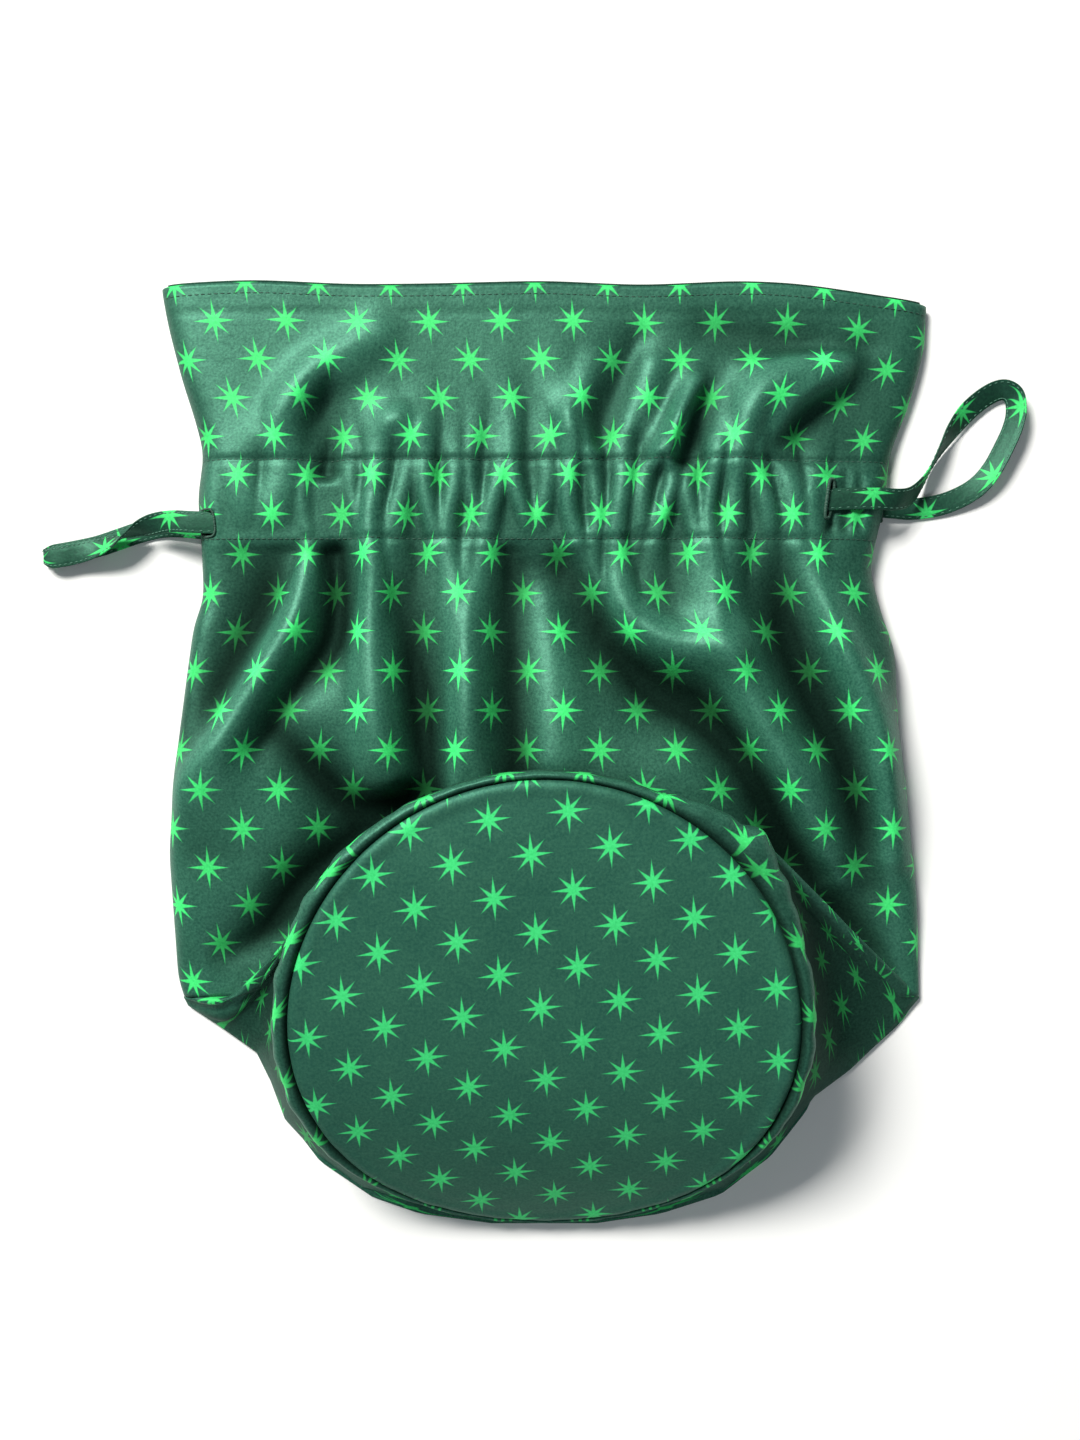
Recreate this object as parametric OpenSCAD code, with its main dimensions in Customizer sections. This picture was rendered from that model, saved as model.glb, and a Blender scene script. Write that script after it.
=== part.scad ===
// Fabric gift sack with a round padded base and two flat drawstrings. It lies on its back,
// with the base folded up over the lower front. Millimetres: X runs across the sack, Y runs
// towards the mouth, and Z is up from the table. The origin is under the middle of the sack.

/* [Cloth] */
// Thickness of one layer of cloth, seams pressed in
cloth = 0.8; // [0.6:0.1:0.8]
// Width of the turned hem at the mouth
hem_w = 12; // [8:1:15]

/* [Base] */
// Diameter of the round base
base_d = 198; // [192:1:200]
// Thickness of the padding in the base
pad_t = 3; // [2:0.5:3]
// Thickness of the springy sheet that stiffens the base
stiffener_t = 1; // [0.6:0.1:1]

/* [Casing] */
// Height above the sack's middle of the casing's lower stitch row
casing_y = 89; // [88:0.5:89]
// Distance between the casing's two stitch rows
casing_h = 33; // [32:1:35]
// Length of each front buttonhole
slit_l = 16; // [15:0.5:16]

/* [Drawstrings] */
// Width of the flat drawstrings
ribbon_w = 9; // [7:0.5:9]
// Thickness of the flat drawstrings
ribbon_t = 1; // [0.8:0.1:1]

/* [Hidden] */

satin = "#2d5f4d";
satin_inside = "#3c6f5c";
thread_green = "#3f8a66";
ribbon_green = "#2a6850";
padding_white = "#e9e7df";
board_grey = "#8f9490";

// Levels of the lying sack
mouth_y = 195;
crease_y = -100;
bottom_y = -195;
edge_z = 4.4;          // top of the front wall along its side edges
channel_h = 2.2;       // room for a drawstring in the front channel
strip_t = 0.6;         // the inner strip that closes the channel
back_channel_h = 2.1;  // room for a drawstring in the back channel
casing_top = casing_y + casing_h;
front_run_z = 13.9;
back_run_z = 2;
thread_t = 0.35;
thread_w = 0.6;

// Side edges of the flat sack: pinched at the casing, wide at the mouth and at the corners
left_edge = [[-104, -149], [-94, -153], [-40, -156], [-2, -153], [32, -149], [55, -146],
    [65, -142], [89, -143], [107, -144.5], [126, -142], [141, -146], [156, -151],
    [179, -157], [195, -160]];
right_edge = [[-101, 157], [-60, 156], [-18, 151.5], [15, 147.5], [44, 146.5], [59, 141],
    [78, 136], [89, 138.5], [103, 142], [116, 143.5], [126, 144.5], [145, 152],
    [158, 156], [170, 159], [187, 160]];
// The mouth dips towards the right corner
mouth_line = [[-1, 194], [-0.3, 195], [0.4, 194], [1, 187]];

function half_w(y) = (lookup(y, right_edge) - lookup(y, left_edge)) / 2;
function mid_x(y) = (lookup(y, right_edge) + lookup(y, left_edge)) / 2;

// u runs from -1 at the left edge to 1 at the right edge. Above the casing, rows bend to
// meet the mouth line.
function row_y(u, y) = y <= casing_top ? y
    : casing_top + (y - casing_top) * (lookup(u, mouth_line) - casing_top) / (mouth_y - casing_top);
function place(u, y) = let (yy = row_y(u, y)) [mid_x(yy) + u * half_w(yy), yy];

// Height of the front wall's outer face: a puffed plateau that rolls off at both sides.
// Past the right buttonhole it is pressed down under the drawstring.
function puff(y) = lookup(y, [[-100, 4], [-60, 14], [-10, 25], [40, 15], [86, 11.6],
    [125, 11.6], [195, 7.4]]);
function roll_off(u) = sqrt(1 - pow(abs(u), u < 0 ? 30 : 12));
function free_z(u, y) = edge_z + puff(y) * roll_off(u);
function wall_z(u, y) = (u > 0.82 && y > 90 && y < 121) ? min(free_z(u, y), 12.4) : free_z(u, y);

// Buttonholes
right_slit_y = 106;
left_slit_y = 98.5;
right_slit_u = [0.809, 0.853];
left_slit_u = [-0.988, -0.924];

// Drawstring lanes in the casing
right_front_y = 105.5;
right_back_y = 104.5;
left_front_y = 96;
left_back_y = 95;

// Bent profile of the base, by arc length from its bottom rim: steep at the bottom and
// nearly level at the top. It is two arcs with a common tangent.
base_r = base_d / 2;
base_foot = [-192.6, 6.8];
foot_slope = 41;
knee_slope = 11;
head_slope = 1;
knee_s = 110;
foot_curl = (foot_slope - knee_slope) / knee_s;
head_curl = (knee_slope - head_slope) / (base_d - knee_s);
rad = PI / 180;
function slope(s) = s < knee_s ? foot_slope - foot_curl * s : knee_slope - head_curl * (s - knee_s);
function arc_step(a, b, curl) = [sin(a) - sin(b), cos(b) - cos(a)] / (curl * rad);
function profile(s) = s < knee_s
    ? base_foot + arc_step(foot_slope, slope(s), foot_curl)
    : profile(knee_s - 0.001) + arc_step(knee_slope, slope(s), head_curl);
function under(s, depth) = profile(s) + depth * [sin(slope(s)), -cos(slope(s))];

cover_in = cloth;
stiffener_in = cover_in + stiffener_t;
pad_in = stiffener_in + pad_t;
lining_in = pad_in + cloth;

// Outer line that the folded wall reaches, by angle round the base from its bottom: the
// back wall's rounded end, the two side corners, and the tuck crease across the front
outer_x = [[0, 0], [20, 38], [40, 78], [66, 113], [134, 157], [226, -149], [294, -110],
    [320, -78], [340, -38], [360, 0]];
outer_y = [[0, -194.6], [20, -193], [40, -181], [66, -142], [134, -101], [150, -100.5],
    [210, -100.5], [226, -104], [294, -149], [320, -181], [340, -193], [360, -194.6]];
outer_z = [[0, 1.7], [66, 1.7], [134, 5.4], [150, 9.4], [210, 9.4], [226, 5.4],
    [294, 1.7], [360, 1.7]];
// Which way is inside the sack, as the upward share, by the same angle
inside_up = [[66, 0], [100, -0.5], [134, 0], [180, 1], [226, 0], [260, -0.5], [294, 0]];
// The wall meets the rim just outside the base. Where it is tucked under the base, it
// starts below the lining.
rim_gap = 1.6;
rim_drop = [[92, lining_in / 2], [126, lining_in + 1.4], [234, lining_in + 1.4],
    [268, lining_in / 2]];

// Free loops of the drawstrings: each entry is a point on the centre line, then the
// direction across the ribbon there
right_route = [
    [[116, 105.5, 13.9], [0, 1, 0]], [[126, 106, 13.9], [0, 1, 0]],
    [[137, 106, 13.9], [0, 1, 0]], [[146, 106, 11.8], [0, 1, 0.4]],
    [[152, 108, 8], [-0.3, 0.8, 0.8]], [[157, 113.5, 6], [-0.3, 0.3, 1]],
    [[161, 120, 5.2], [-0.2, 0.1, 1]], [[165.5, 128, 5], [-0.4, 0.2, 1]],
    [[170.5, 136, 4.4], [-0.7, 0.45, 0.8]], [[177, 144, 3.4], [-0.75, 0.6, 0.45]],
    [[185, 150.5, 3.2], [-0.45, 0.85, 0.4]], [[191.5, 153, 3.6], [-0.1, 0.9, 0.5]],
    [[196, 150.5, 4], [0.65, 0.5, 0.6]], [[197, 144, 4.2], [0.8, 0, 0.65]],
    [[195.5, 137, 4.2], [0.8, -0.2, 0.65]], [[192, 129, 4], [0.75, -0.35, 0.6]],
    [[187.5, 120.5, 3.6], [0.7, -0.45, 0.55]], [[182, 113.5, 2.8], [0.6, -0.75, 0.35]],
    [[174.5, 108.5, 1.8], [0.35, -0.95, 0.15]], [[165, 105, 1.2], [0.2, -1, 0]],
    [[154, 103.5, 1.1], [0.1, -1, 0]], [[146, 104, 1.6], [0, -1, 0]],
    [[138, 104.5, 2], [0, -1, 0]]
];
left_route = [
    [[-135, 96, 13.9], [0, 1, 0]], [[-146, 96.5, 13.9], [0, 1, 0]],
    [[-153, 97, 12], [0, 1, 0]], [[-160, 96.5, 9.5], [0, 1, 0.3]],
    [[-167, 94.5, 8], [0.2, 0.7, 0.75]], [[-173.5, 91.5, 7.4], [0.2, 0.1, 1]],
    [[-180, 88.8, 6.8], [0, -0.7, 0.75]], [[-187, 86.5, 5.8], [-0.2, -1, 0.3]],
    [[-195, 84.5, 5], [-0.2, -1, 0]], [[-203, 83, 4.8], [-0.1, -1, 0]],
    [[-208, 83, 3.6], [0, -1, 0]], [[-208.5, 83.5, 2], [0, -1, 0]],
    [[-204, 84.5, 0.9], [0, -1, 0]], [[-196, 86, 0.7], [-0.2, -1, 0]],
    [[-187, 88, 0.7], [-0.2, -1, 0]], [[-178, 91, 0.7], [-0.3, -1, 0]],
    [[-169, 94, 0.7], [-0.3, -1, 0]], [[-160, 96, 0.8], [-0.1, -1, 0]],
    [[-151, 96, 1.3], [0, -1, 0]], [[-143, 95.3, 2], [0, -1, 0]],
    [[-138, 95, 2], [0, -1, 0]]
];
// Hidden turns at the far end of each drawstring, inside the casing
right_turn = [[[-128, 105.5, 13.9], [0, 1, 0]], [[-133, 105.5, 13.2], [0, 1, 0]],
    [[-136.5, 105, 10.5], [0, 1, 0]], [[-137.5, 105, 8], [0, 1, 0]],
    [[-136.5, 105, 5], [0, 1, 0]], [[-133, 104.5, 2.8], [0, 1, 0]],
    [[-128, 104.5, 2], [0, 1, 0]]];
left_turn = [[[104, 96, 13.9], [0, 1, 0]], [[110, 96, 13], [0, 1, 0]],
    [[117, 96, 11], [0, 1, 0]], [[124, 95.5, 8.5], [0, 1, 0]],
    [[128, 95.5, 6.5], [0, 1, 0]], [[129, 95, 4.5], [0, 1, 0]],
    [[126, 95, 2.6], [0, 1, 0]], [[120, 95, 2], [0, 1, 0]]];

// ---- thin solids on a grid ----------------------------------------------------------

// Closed solid between two grids of points, rows along Y and columns along X. Cells for
// which is_hole is true are left open, and wrap joins the last column to the first.
module grid_shell(top, bottom, is_hole = function(i, j) false, wrap = false) {
    rows = len(top);
    cols = len(top[0]);
    cells = wrap ? cols : cols - 1;
    low = rows * cols;
    solid_cell = function(i, j)
        j >= 0 && j < rows - 1 && (wrap || (i >= 0 && i < cells)) && !is_hole(i, j);
    at = function(i, j) j * cols + i % cols;
    used = [for (j = [0:rows - 2], i = [0:cells - 1]) if (solid_cell(i, j)) [i, j]];
    upper = [for (c = used) each quad(at(c[0], c[1]), at(c[0], c[1] + 1),
        at(c[0] + 1, c[1] + 1), at(c[0] + 1, c[1]))];
    lower = [for (f = upper) [f[2] + low, f[1] + low, f[0] + low]];
    sides = [for (c = used) let (i = c[0], j = c[1], a = at(i, j), b = at(i + 1, j),
        d = at(i, j + 1), e = at(i + 1, j + 1)) each concat(
        solid_cell(i, j - 1) ? [] : quad(a + low, a, b, b + low),
        solid_cell(i, j + 1) ? [] : quad(e + low, e, d, d + low),
        solid_cell(i - 1, j) ? [] : quad(d + low, d, a, a + low),
        solid_cell(i + 1, j) ? [] : quad(b + low, b, e, e + low))];
    polyhedron(points = concat([for (r = top) each r], [for (r = bottom) each r]),
        faces = concat(upper, lower, sides));
}
function quad(a, b, c, d) = [[a, b, c], [a, c, d]];

// Patch that follows the front wall, between two offsets from the wall's outer face
module on_wall(us, ys, high, low, is_hole = function(i, j) false) {
    grid_shell([for (y = ys) [for (u = us) [each place(u, y), wall_z(u, y) + high]]],
        [for (y = ys) [for (u = us) [each place(u, y), wall_z(u, y) + low]]], is_hole);
}

// Columns close together near the side edges, where the wall rolls off
wall_u = concat([for (a = [-90:4.5:49.5]) sin(a)], right_slit_u, [for (a = [63:4.5:90]) sin(a)]);
wall_y = [-100, -88, -75, -62, -50, -38, -25, -10, 5, 20, 35, 50, 65, 80, casing_y,
    left_slit_y - slit_l / 2, right_slit_y - slit_l / 2, left_slit_y + slit_l / 2,
    right_slit_y + slit_l / 2, casing_top - 1, casing_top, 133, 145, 158, 171, 184, mouth_y];
function is_slit(u, y) =
    (u >= right_slit_u[0] && u < right_slit_u[1] && abs(y - right_slit_y) < slit_l / 2) ||
    (u >= left_slit_u[0] && u < left_slit_u[1] && abs(y - left_slit_y) < slit_l / 2);

// ---- walls -----------------------------------------------------------------------------

module back_wall() {
    outline = concat(
        [for (a = [294:6:360]) [lookup(a, outer_x), lookup(a, outer_y)]],
        [for (a = [6:6:66]) [lookup(a, outer_x), lookup(a, outer_y)]],
        [for (p = right_edge) [p[1], p[0]]],
        [for (u = [0.7, 0.4, -0.3]) place(u, mouth_y)],
        [for (i = [len(left_edge) - 1:-1:0]) [left_edge[i][1], left_edge[i][0]]]);
    color(satin) linear_extrude(cloth) polygon(
        [for (p = outline) [p[0], max(p[1], bottom_y)]]);
}

module front_wall() {
    color(satin) on_wall(wall_u, wall_y, 0, -cloth, function(i, j)
        is_slit(wall_u[i] + 0.001, (wall_y[j] + wall_y[j + 1]) / 2));
}

// The lower wall, from the tuck crease and the back wall's end up to the rim of the base
module folded_wall() {
    angles = [0:5:355];
    steps = [0:0.2:1];
    rim = function(a) let (r = base_r + rim_gap, p = profile(base_r - r * cos(a)))
        [r * sin(a), p[0], p[1] - lookup(a, rim_drop)];
    outer = function(a) [lookup(a, outer_x), lookup(a, outer_y), lookup(a, outer_z)];
    inward = function(a) let (v = [-sin(a), 0.7 * cos(a), lookup(a, inside_up)]) v / norm(v);
    skin = function(depth) [for (k = steps) [for (a = angles)
        outer(a) * (1 - k) + rim(a) * k + depth * inward(a)]];
    color(satin) grid_shell(skin(cloth), skin(0), wrap = true);
}

// Pressed seam allowance inside a side edge, left open where the casing is
module side_seam(edge, side) {
    color(satin_inside) translate([0, 0, cloth])
        for (span = [[crease_y, casing_y - 3], [casing_top + 3, 187]]) {
            ys = [for (k = [0:0.125:1]) span[0] + k * (span[1] - span[0])];
            linear_extrude(edge_z - 2 * cloth) polygon(concat(
                [for (y = ys) [lookup(y, edge), y]],
                [for (i = [len(ys) - 1:-1:0]) [lookup(ys[i], edge) - side * 4, ys[i]]]));
        }
}
module side_seam_left() { side_seam(left_edge, -1); }
module side_seam_right() { side_seam(right_edge, 1); }

// ---- mouth -----------------------------------------------------------------------------

hem_u = [for (a = [-76.5:9:76.5]) sin(a)];
hem_gap = 0.05;
hem_thread_y = mouth_y - 4.5;

module mouth_hem_front() {
    color(satin_inside) on_wall(hem_u, [mouth_y - hem_w, mouth_y - 0.5],
        -cloth - hem_gap, -2 * cloth - hem_gap);
}

module mouth_hem_back() {
    color(satin_inside) translate([0, 0, cloth]) linear_extrude(cloth)
        polygon(concat([for (u = hem_u) place(u, mouth_y - hem_w)],
            [for (i = [len(hem_u) - 1:-1:0]) place(hem_u[i], mouth_y - 0.5)]));
}

module hem_thread_front() {
    color(thread_green) on_wall(hem_u, [hem_thread_y, hem_thread_y + thread_w], thread_t, 0);
}

module hem_thread_back() {
    color(thread_green) translate([0, 0, 2 * cloth]) linear_extrude(thread_t)
        polygon(concat([for (u = hem_u) place(u, hem_thread_y)],
            [for (i = [len(hem_u) - 1:-1:0]) place(hem_u[i], hem_thread_y + thread_w)]));
}

// ---- casing ----------------------------------------------------------------------------

strip_u = [for (a = [-60:6:46]) sin(a)];
bar_w = 1;
back_strip_x = 124;

// Inner strip under the front wall, sewn to it along two bars, which makes the channel
module casing_strip_front() {
    ys = [casing_y, casing_y + bar_w, casing_y + bar_w + 0.05, casing_top - bar_w - 0.05,
        casing_top - bar_w, casing_top];
    depth = [0, 0, channel_h, channel_h, 0, 0];
    color(satin_inside) grid_shell(
        [for (j = [0:5]) [for (u = strip_u) [each place(u, ys[j]),
            wall_z(u, ys[j]) - cloth - depth[j]]]],
        [for (y = ys) [for (u = strip_u) [each place(u, y),
            wall_z(u, y) - cloth - channel_h - strip_t]]]);
}

module casing_strip_back() {
    top = cloth + back_channel_h + strip_t;
    color(satin_inside) difference() {
        translate([-back_strip_x, casing_y, cloth])
            cube([2 * back_strip_x, casing_h, back_channel_h + strip_t]);
        translate([-back_strip_x - 1, casing_y + bar_w, cloth - 1])
            cube([2 * back_strip_x + 2, casing_h - 2 * bar_w, back_channel_h + 1]);
    }
}

module casing_thread_front() {
    color(thread_green) for (y = [casing_y, casing_top - thread_w])
        on_wall(hem_u, [y, y + thread_w], thread_t, 0);
}

module casing_thread_back() {
    color(thread_green) for (y = [casing_y + 0.2, casing_top - thread_w - 0.2])
        translate([-back_strip_x, y, cloth + back_channel_h + strip_t])
            cube([2 * back_strip_x, thread_w, thread_t]);
}

// ---- buttonholes -----------------------------------------------------------------------

// Thread-bound frame round a slit in the front wall
module bound_slit(us, centre_y) {
    ys = [centre_y - slit_l / 2 - 1.5, centre_y - slit_l / 2, centre_y,
        centre_y + slit_l / 2, centre_y + slit_l / 2 + 1.5];
    color(thread_green) on_wall(us, ys, 0.6, 0.02, function(i, j) i == 1 && (j == 1 || j == 2));
}
module buttonhole_right_front() { bound_slit([0.8, 0.812, 0.85, 0.865], right_slit_y); }
module buttonhole_left_front() { bound_slit([-0.996, -0.988, -0.924, -0.912], left_slit_y); }

// Thread-bound slit in the side edge, where the back strand leaves
module edge_slit(x, y) {
    half_l = ribbon_w / 2 + 1;
    color(thread_green) difference() {
        translate([x - 1.25, y - half_l - 1.5, cloth]) cube([2.5, 2 * half_l + 3, 2.7]);
        translate([x - 2, y - half_l, cloth + 0.4]) cube([4, 2 * half_l, 1.9]);
    }
}
module buttonhole_right_back() { edge_slit(141, right_back_y); }
module buttonhole_left_back() { edge_slit(-142.2, left_back_y); }

// ---- base ------------------------------------------------------------------------------

// One layer of the bent base, between two depths under its outer face, out to radius r
// and in to radius hole_r
module base_layer(r, high, low, hole_r = 0) {
    ss = concat([for (s = [0:5:base_d - 2]) s], [base_d]);
    intersection() {
        rotate([90, 0, 90]) translate([0, 0, -base_r - 5]) linear_extrude(base_d + 10)
            polygon(concat([for (s = ss) under(s, high)],
                [for (i = [len(ss) - 1:-1:0]) under(ss[i], low)]));
        difference() {
            base_prism(r);
            if (hole_r > 0) base_prism(hole_r);
        }
    }
}

// Upright prism with the outline that a circle on the bent base has from above
module base_prism(r) {
    linear_extrude(90) polygon([for (a = [0:5:355])
        [r * sin(a), profile(base_r - r * cos(a))[0] + (a > 90 && a < 270 ? 0.4 : 0)]]);
}

module base_cover() { color(satin) base_layer(base_r, 0, cover_in); }
module base_stiffener() { color(board_grey) base_layer(base_r - 9, cover_in, stiffener_in); }
module base_pad() { color(padding_white) base_layer(base_r - 9, stiffener_in, pad_in); }
module base_lining() { color(satin_inside) base_layer(base_r, pad_in, lining_in); }

// Seam allowances of cover, wall and lining, sewn together inside the rim
module base_seam() { color(satin_inside) base_layer(base_r, cover_in, pad_in, base_r - 8); }

// ---- drawstrings -----------------------------------------------------------------------

function unit(v) = v / norm(v);
// Ring of eight points round a flat ribbon at entry i of a route
function ribbon_ring(route, i) = let (
        last = len(route) - 1,
        along = unit(route[min(i + 1, last)][0] - route[max(i - 1, 0)][0]),
        w = route[i][1],
        across = unit(w - (w * along) * along),
        up = cross(along, across),
        a = ribbon_w / 2, b = ribbon_t / 2)
    [for (p = [[a, b / 2], [a - b, b], [b - a, b], [-a, b / 2], [-a, -b / 2], [b - a, -b],
        [a - b, -b], [a, -b / 2]]) route[i][0] + p[0] * across + p[1] * up];

module ribbon(route) {
    n = len(route);
    sides = 8;
    polyhedron(points = [for (i = [0:n - 1]) each ribbon_ring(route, i)],
        faces = concat(
            [for (i = [0:n - 2], k = [0:sides - 1]) each quad(i * sides + k,
                i * sides + (k + 1) % sides, (i + 1) * sides + (k + 1) % sides,
                (i + 1) * sides + k)],
            [[for (k = [sides - 1:-1:0]) k]],
            [[for (k = [0:sides - 1]) (n - 1) * sides + k]]));
}

// Straight hidden run along a lane of the casing
module run(x0, x1, y, z) {
    translate([x0, y - ribbon_w / 2, z - ribbon_t / 2]) cube([x1 - x0, ribbon_w, ribbon_t]);
}

module right_drawstring_loop() { color(ribbon_green) ribbon(right_route); }
module right_drawstring_turn() { color(ribbon_green) ribbon(right_turn); }
module right_drawstring_runs() {
    color(ribbon_green) {
        run(-128, 116, right_front_y, front_run_z);
        run(-128, 138, right_back_y, back_run_z);
    }
}
module left_drawstring_loop() { color(ribbon_green) ribbon(left_route); }
module left_drawstring_turn() { color(ribbon_green) ribbon(left_turn); }
module left_drawstring_runs() {
    color(ribbon_green) {
        run(-135, 104, left_front_y, front_run_z);
        run(-138, 120, left_back_y, back_run_z);
    }
}

back_wall();
front_wall();
folded_wall();
side_seam_left();
side_seam_right();
mouth_hem_front();
mouth_hem_back();
casing_strip_front();
casing_strip_back();
hem_thread_front();
hem_thread_back();
casing_thread_front();
casing_thread_back();
buttonhole_right_front();
buttonhole_right_back();
buttonhole_left_front();
buttonhole_left_back();
base_cover();
base_pad();
base_stiffener();
base_lining();
base_seam();
right_drawstring_loop();
right_drawstring_runs();
right_drawstring_turn();
left_drawstring_loop();
left_drawstring_runs();
left_drawstring_turn();
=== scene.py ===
"""Looks of the fabric gift sack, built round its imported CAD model.

Lengths in the sections are millimetres, as in the part's source, and MM turns them into
metres when a mesh is made. The sack lies on its back wall: X runs across it, Y runs from
the base to the mouth, and Z is up.
"""
import math

import bpy
import numpy as np
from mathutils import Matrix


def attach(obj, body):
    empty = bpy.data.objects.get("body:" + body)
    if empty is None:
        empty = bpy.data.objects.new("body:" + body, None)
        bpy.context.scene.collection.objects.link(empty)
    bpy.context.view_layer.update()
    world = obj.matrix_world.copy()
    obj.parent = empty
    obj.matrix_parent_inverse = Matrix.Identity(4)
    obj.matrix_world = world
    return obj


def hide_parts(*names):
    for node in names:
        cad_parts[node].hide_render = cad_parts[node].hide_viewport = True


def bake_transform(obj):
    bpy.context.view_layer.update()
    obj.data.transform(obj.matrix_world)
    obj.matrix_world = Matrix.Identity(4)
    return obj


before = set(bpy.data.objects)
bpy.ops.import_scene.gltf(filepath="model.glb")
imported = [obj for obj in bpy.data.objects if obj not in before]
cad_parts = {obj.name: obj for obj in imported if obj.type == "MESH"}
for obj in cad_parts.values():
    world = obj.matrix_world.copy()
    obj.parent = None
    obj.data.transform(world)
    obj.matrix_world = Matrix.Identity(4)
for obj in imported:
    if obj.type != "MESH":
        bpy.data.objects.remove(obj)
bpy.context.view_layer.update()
MM = 0.001

# ---- Camera --------------------------------------------------------------------------
# Straight above the sack, looking down, in portrait format.


def add_object(name, data):
    """Puts a new object in the scene, at the origin and unturned."""
    thing = bpy.data.objects.new(name, data)
    bpy.context.scene.collection.objects.link(thing)
    return thing


view_data = bpy.data.cameras.new("above")
view_data.lens = 36.9
view_data.sensor_width = 36
above = add_object("above", view_data)
above.location = (-0.0017, 0.0151, 0.62)
bpy.context.scene.camera = above

# ---- Drawstrings ---------------------------------------------------------------------
# Two flat ribbons of the same printed satin, folded lengthwise with both edges turned in
# and topstitched along each side. Each leaves a buttonhole, makes a free loop, goes back
# in at the side edge, and runs through the casing to a hidden turn at the far side.
RIBBON_W = 9
RIBBON_T = 1
TOPSTITCH_IN = 3.5      # from the ribbon's middle to each row of topstitching
STAR_REPEAT = 30.3      # the print repeats at this distance, with a star in the middle too
STAR_TIP = 8.1          # upright and level arms
STAR_SHORT = 1.1        # the slanting arms are this much shorter
STAR_WAIST = 2.15       # radius at which the arms meet
RIBBON_PRINT = -0.08    # where the ribbon's middle lies on the print, in repeats
SATIN_GLOW = 0.5        # how much of the ground's gloss takes the cloth's own green
HOLLOW_SHADE = 0.82     # how much the painted shade darkens the cloth's colour at the bottom of a fold
STAR_GREEN = (0.022, 0.500, 0.110, 1)
STAR_LIGHT = (0.060, 0.740, 0.190, 1)
RIBBON_GREEN = (0.018, 0.095, 0.055, 1)
RIBBON_DEEP = (0.011, 0.058, 0.037, 1)
THREAD_GREEN = (0.022, 0.090, 0.060, 1)
# The topstitch thread is the sewing thread's green made lighter: painted highlight for the
# glints on the ribbons' stitches
TOPSTITCH_GREEN = (0.100, 0.290, 0.200, 1)


class Signal:
    """A value that flows between the nodes of one material. Python's own signs add,
    subtract, multiply and divide it, and each one puts in a Math node."""

    def __init__(self, tree, socket=None):
        self.tree = tree
        self.socket = socket

    def make(self, kind, settings=None, inputs=None, out=0):
        """Any other node: its settings go in first, then its sockets' values or links."""
        node = self.tree.nodes.new(kind)
        for key, value in (settings or {}).items():
            setattr(node, key, value)
        for key, value in (inputs or {}).items():
            if isinstance(value, Signal):
                self.tree.links.new(value.socket, node.inputs[key])
            else:
                node.inputs[key].default_value = value
        return Signal(self.tree, node.outputs[out])

    def math(self, operation, *values, clamp=False):
        return self.make("ShaderNodeMath", {"operation": operation, "use_clamp": clamp},
                         dict(enumerate(values)))

    def __add__(self, other): return self.math("ADD", self, other)
    def __radd__(self, other): return self.math("ADD", other, self)
    def __sub__(self, other): return self.math("SUBTRACT", self, other)
    def __rsub__(self, other): return self.math("SUBTRACT", other, self)
    def __mul__(self, other): return self.math("MULTIPLY", self, other)
    def __rmul__(self, other): return self.math("MULTIPLY", other, self)
    def __truediv__(self, other): return self.math("DIVIDE", self, other)
    def __abs__(self): return self.math("ABSOLUTE", self)

    def mix(self, low, high):
        """The colour low where this value is 0 and high where it is 1."""
        return self.make("ShaderNodeMix", {"data_type": "RGBA"},
                         {"Factor": self, 6: low, 7: high}, out=2)

    def feed(self, node, socket):
        self.tree.links.new(self.socket, node.inputs[socket])


def star_mask(cloth_x, cloth_y, blur):
    """1 inside a printed star and 0 outside it. The cloth's place is counted in repeats
    and taken from the nearest of two square grids of stars, one shifted by half a
    repeat both ways. Round a star, one eighth of the turn is folded on to half an arm,
    whose edge is the straight line from the tip to the waist."""
    def wrapped(value, shift):
        return (value + (0.5 - shift)).math("FRACT", value + (0.5 - shift)) - 0.5
    near = [(wrapped(cloth_x, shift), wrapped(cloth_y, shift)) for shift in (0, 0.5)]
    reach = [(x * x + y * y).math("SQRT", x * x + y * y) for x, y in near]
    second = reach[0].math("GREATER_THAN", reach[0], reach[1])
    x = near[0][0] * (1 - second) + near[1][0] * second
    y = near[0][1] * (1 - second) + near[1][1] * second
    radius = reach[0].math("MINIMUM", reach[0], reach[1]) * STAR_REPEAT
    turn = x.math("ARCTAN2", y, x)
    eighth = math.pi / 4
    folded = abs(turn.math("FLOORED_MODULO", turn + eighth / 2, eighth) - eighth / 2)
    along = radius * folded.math("COSINE", folded)
    beside = radius * folded.math("SINE", folded)
    waist_x = STAR_WAIST * math.cos(eighth / 2)
    waist_y = STAR_WAIST * math.sin(eighth / 2)
    edge = math.hypot(waist_y, STAR_TIP - waist_x)
    arm = turn.math("ROUND", turn / eighth)
    tip = STAR_TIP - abs(arm.math("FLOORED_MODULO", arm, 2)) * STAR_SHORT
    out = ((along - tip) * waist_y + beside * (tip - waist_x)) / edge
    return out.math("SUBTRACT", 0.5, out / blur, clamp=True)


def new_finish(name, constants):
    """A new material with constants on its shader's sockets. Gives the material, the
    shader, and a Signal from which the other nodes are made."""
    material = bpy.data.materials.new(name)
    material.use_nodes = True
    shader = material.node_tree.nodes["Principled BSDF"]
    for socket, value in constants.items():
        shader.inputs[socket].default_value = value
    return material, shader, Signal(material.node_tree)


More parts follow.
